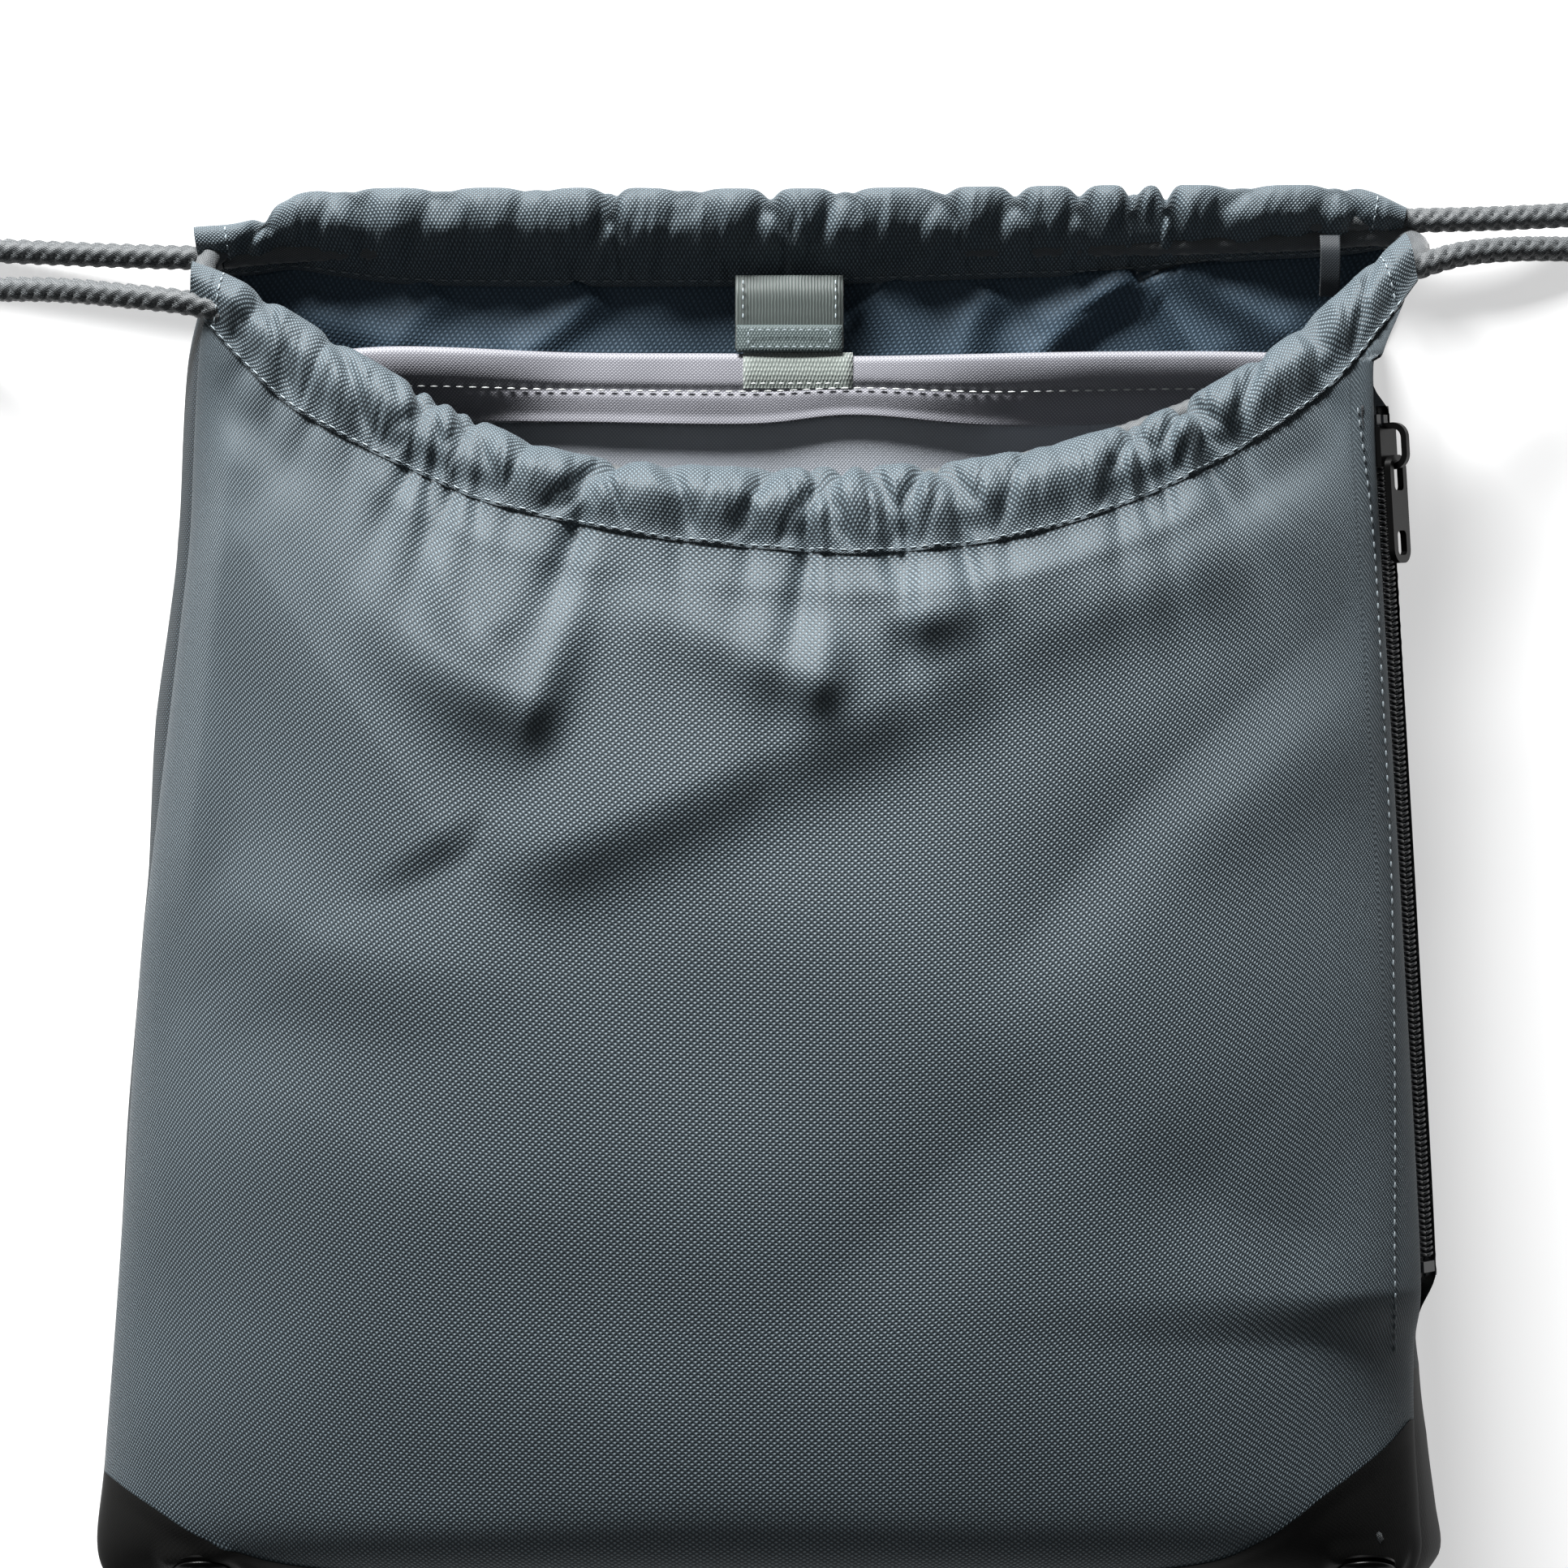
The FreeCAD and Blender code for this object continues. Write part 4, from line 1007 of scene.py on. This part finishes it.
stitches("tab_box_stitches", box_line, THREAD, "tab", 2.3, 0.4)
stitches("loop_strip_stitches", [(-9.8, 143.6, 18.0), (17.4, 143.6, 18.0)], PALE_THREAD, "root", 2.6, 0.45)
right_topstitch = [(158.5, 136), (162.8, 100), (165.2, 58), (167.4, 14), (168.2, -30), (168.4, -70),
                   (168.2, -100), (169.2, -128)]
stitches("zipper_topstitches", on_front(right_topstitch), DARK_THREAD, pitch=3.4, thread=0.6)

# ---- zipper: nylon coil on two tapes, in the zipper's own directions ----
ZIP_TOP = np.array([165.06, 133.64, 40.0])
ZIP_ALONG = np.array([-0.05547, 0.99846, 0])
ZIP_UP = np.array([-0.54415, -0.03023, 0.83844])
ZIP_OUT = np.cross(ZIP_ALONG, ZIP_UP)
CHAIN_LENGTH = 232.0
COIL_PITCH = 1.55


def on_zipper(along, up, out):
    """Points in space from distances along, up the slope of and out from the closed zipper."""
    along, up, out = np.broadcast_arrays(along, up, out)
    return ZIP_TOP + along[:, None] * ZIP_ALONG + up[:, None] * ZIP_UP + out[:, None] * ZIP_OUT


def coil(name, side, node_name):
    turns = int(CHAIN_LENGTH / COIL_PITCH)
    steps = turns * 10
    way = np.arange(steps + 1) / 10
    turn = way * 2 * math.pi
    up = side * (1.75 + 1.35 * np.cos(turn))
    line = on_zipper(-3.2 - way * COIL_PITCH, up, -0.25 + 0.85 * np.sin(turn))
    mesh = tube_along(name, line, 6, lambda v, turn: np.full_like(v, 0.42))
    return piece(name, mesh, "root", COIL, [node_name])


def tape(name, side, node_name):
    def place(u, v):
        up = side * (1.0 + 6.6 * u)
        return on_zipper(2.6 - v * (CHAIN_LENGTH + 10), up, -1.35 + 0.12 * np.sin(v * 330))

    mesh = woven(name, 10, 300, place, flat=cut_to(7, 240))
    return thicken(piece(name, mesh, "root", TAPE, [node_name]), 0.5, 0.0)


for name, side in (("front", 1), ("rear", -1)):
    coil("coil_" + name, side, "zipper_coil_" + name)
    tape("tape_" + name, side, "zipper_tape_" + name)
    line = on_zipper(-4 - np.linspace(0, CHAIN_LENGTH - 4, 60), side * 3.5, -0.9)
    stitches("coil_stitches_" + name, line, DARK_THREAD, pitch=3.0, thread=0.4)


def pocket_place(u, v):
    """Flat pouch inside the zipper: down from the tapes, out over the bag's floor and back."""
    path = line_through([(169, 36), (163, 24), (147, 19.5), (110, 18.4), (64, 18.2), (62, 17.2), (64, 16.6),
                         (110, 16.6), (146, 17), (163, 17.5), (169.5, 33)], 300)
    reach = np.linspace(0, 1, 300)
    y = 124 - POCKET_CUT[1] * v
    straight_x = np.interp(u, reach, path[:, 0])
    x = straight_x - 0.0555 * (y - 10) * smooth(150, 172, straight_x)          # leans like the zipper
    return np.stack([x, y, np.interp(u, reach, path[:, 1]) + 0.5 * ripples(x, y, 50, 31)], axis=1)


zip_pocket = cloth("zip_pocket_lining", 80, 60, pocket_place, cut_to(*POCKET_CUT), SHADE_LIFTED_LINING,
                   ["zip_pocket_bag"])
thicken(zip_pocket, 0.5, 0.0)

# ---- eyelets, knots and the small hardware that stays as it was cut ----
EYELET_OUT = np.array([0, -0.92718, 0.37461])
EYELET_X, EYELET_Y, EYELET_Z = 161.0, -186.0, 44.09
BALL_DEPTH, BALL_RADIUS = 9.4, 4.2       # the knot behind the eyelet


def domed_ring(name, sign, node_name):
    """Pressed eyelet: a rolled, domed flange and its barrel, spun round its axis."""
    profile_points = [(4.7, -1.8), (4.65, 0.7), (5.0, 1.25), (5.7, 1.65), (6.6, 1.6), (7.5, 1.2), (8.1, 0.6),
                      (8.25, 0.05), (5.4, 0.05), (5.1, -1.8)]
    bm = bmesh.new()
    verts = [bm.verts.new((r * MM, 0, h * MM)) for r, h in profile_points]
    edges = [bm.edges.new((verts[i], verts[(i + 1) % len(verts)])) for i in range(len(verts))]
    bmesh.ops.spin(bm, geom=verts + edges, axis=(0, 0, 1), cent=(0, 0, 0), steps=64, angle=2 * math.pi,
                   use_merge=True)
    bmesh.ops.remove_doubles(bm, verts=bm.verts, dist=1e-7)
    bmesh.ops.recalc_face_normals(bm, faces=bm.faces)
    centre = Vector((sign * EYELET_X, EYELET_Y, EYELET_Z)) * MM
    turn = Vector(EYELET_OUT).to_track_quat("Z", "Y").to_matrix().to_4x4()
    bmesh.ops.transform(bm, matrix=Matrix.Translation(centre) @ turn, verts=bm.verts)
    return piece(name, baked(bm, name), "root", ENAMEL, [node_name])


def knotted_ends(name, sign, node_name):
    """The two cord ends squeezed through the eyelet and tied off in a ball inside."""
    centre = np.array([sign * EYELET_X, EYELET_Y, EYELET_Z])
    ball = centre - EYELET_OUT * BALL_DEPTH
    bm = bmesh.new()
    for offset in (-1, 1):
        start = np.array([sign * EYELET_X + offset * 3.15, THROAT[1], THROAT[2]])
        route = [start, centre + EYELET_OUT * 5 + [offset * 2.9, 0, 0], centre + [offset * 2.1, 0, 0],
                 centre - EYELET_OUT * 3 + [offset * 2.0, 0, 0], ball + [offset * 3.0, 0, 0]]
        part, _ = braided(name, followed(name, route), around=16, squeeze=((0, 1.0), (0.4, 0.7), (1, 0.7)))
        bm.from_mesh(part)
        bpy.data.meshes.remove(part)
    for tilt, spin_turn in ((0.3, 0.2), (1.2, 1.3), (-0.9, 2.3)):
        turn = Matrix.Rotation(spin_turn, 3, "Z") @ Matrix.Rotation(tilt, 3, "X")
        a = np.linspace(0, 2 * math.pi, 49)
        circle = [np.array(turn @ Vector((math.cos(t), math.sin(t), 0))) for t in a]
        hoop = [ball * MM + spot * BALL_RADIUS * MM for spot in circle]
        part, _ = braided(name, hoop, around=14, squeeze=((0, 0.85), (1, 0.85)))
        bm.from_mesh(part)
        bpy.data.meshes.remove(part)
    return piece(name, baked(bm, name), "root", CORD, [node_name])


for side, sign in (("left", -1), ("right", 1)):
    domed_ring(side + "_domed_eyelet", sign, side + "_eyelet")
    knotted_ends(side + "_knotted_ends", sign, side + "_knot")

for node_name, finish in (("zipper_slider", ENAMEL), ("zipper_puller", ENAMEL), ("zipper_top_stops", COIL),
                          ("zipper_bottom_stop", COIL), ("left_eyelet_washer", ENAMEL),
                          ("right_eyelet_washer", ENAMEL)):
    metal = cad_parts[node_name]
    metal.data.materials.clear()
    metal.data.materials.append(finish)
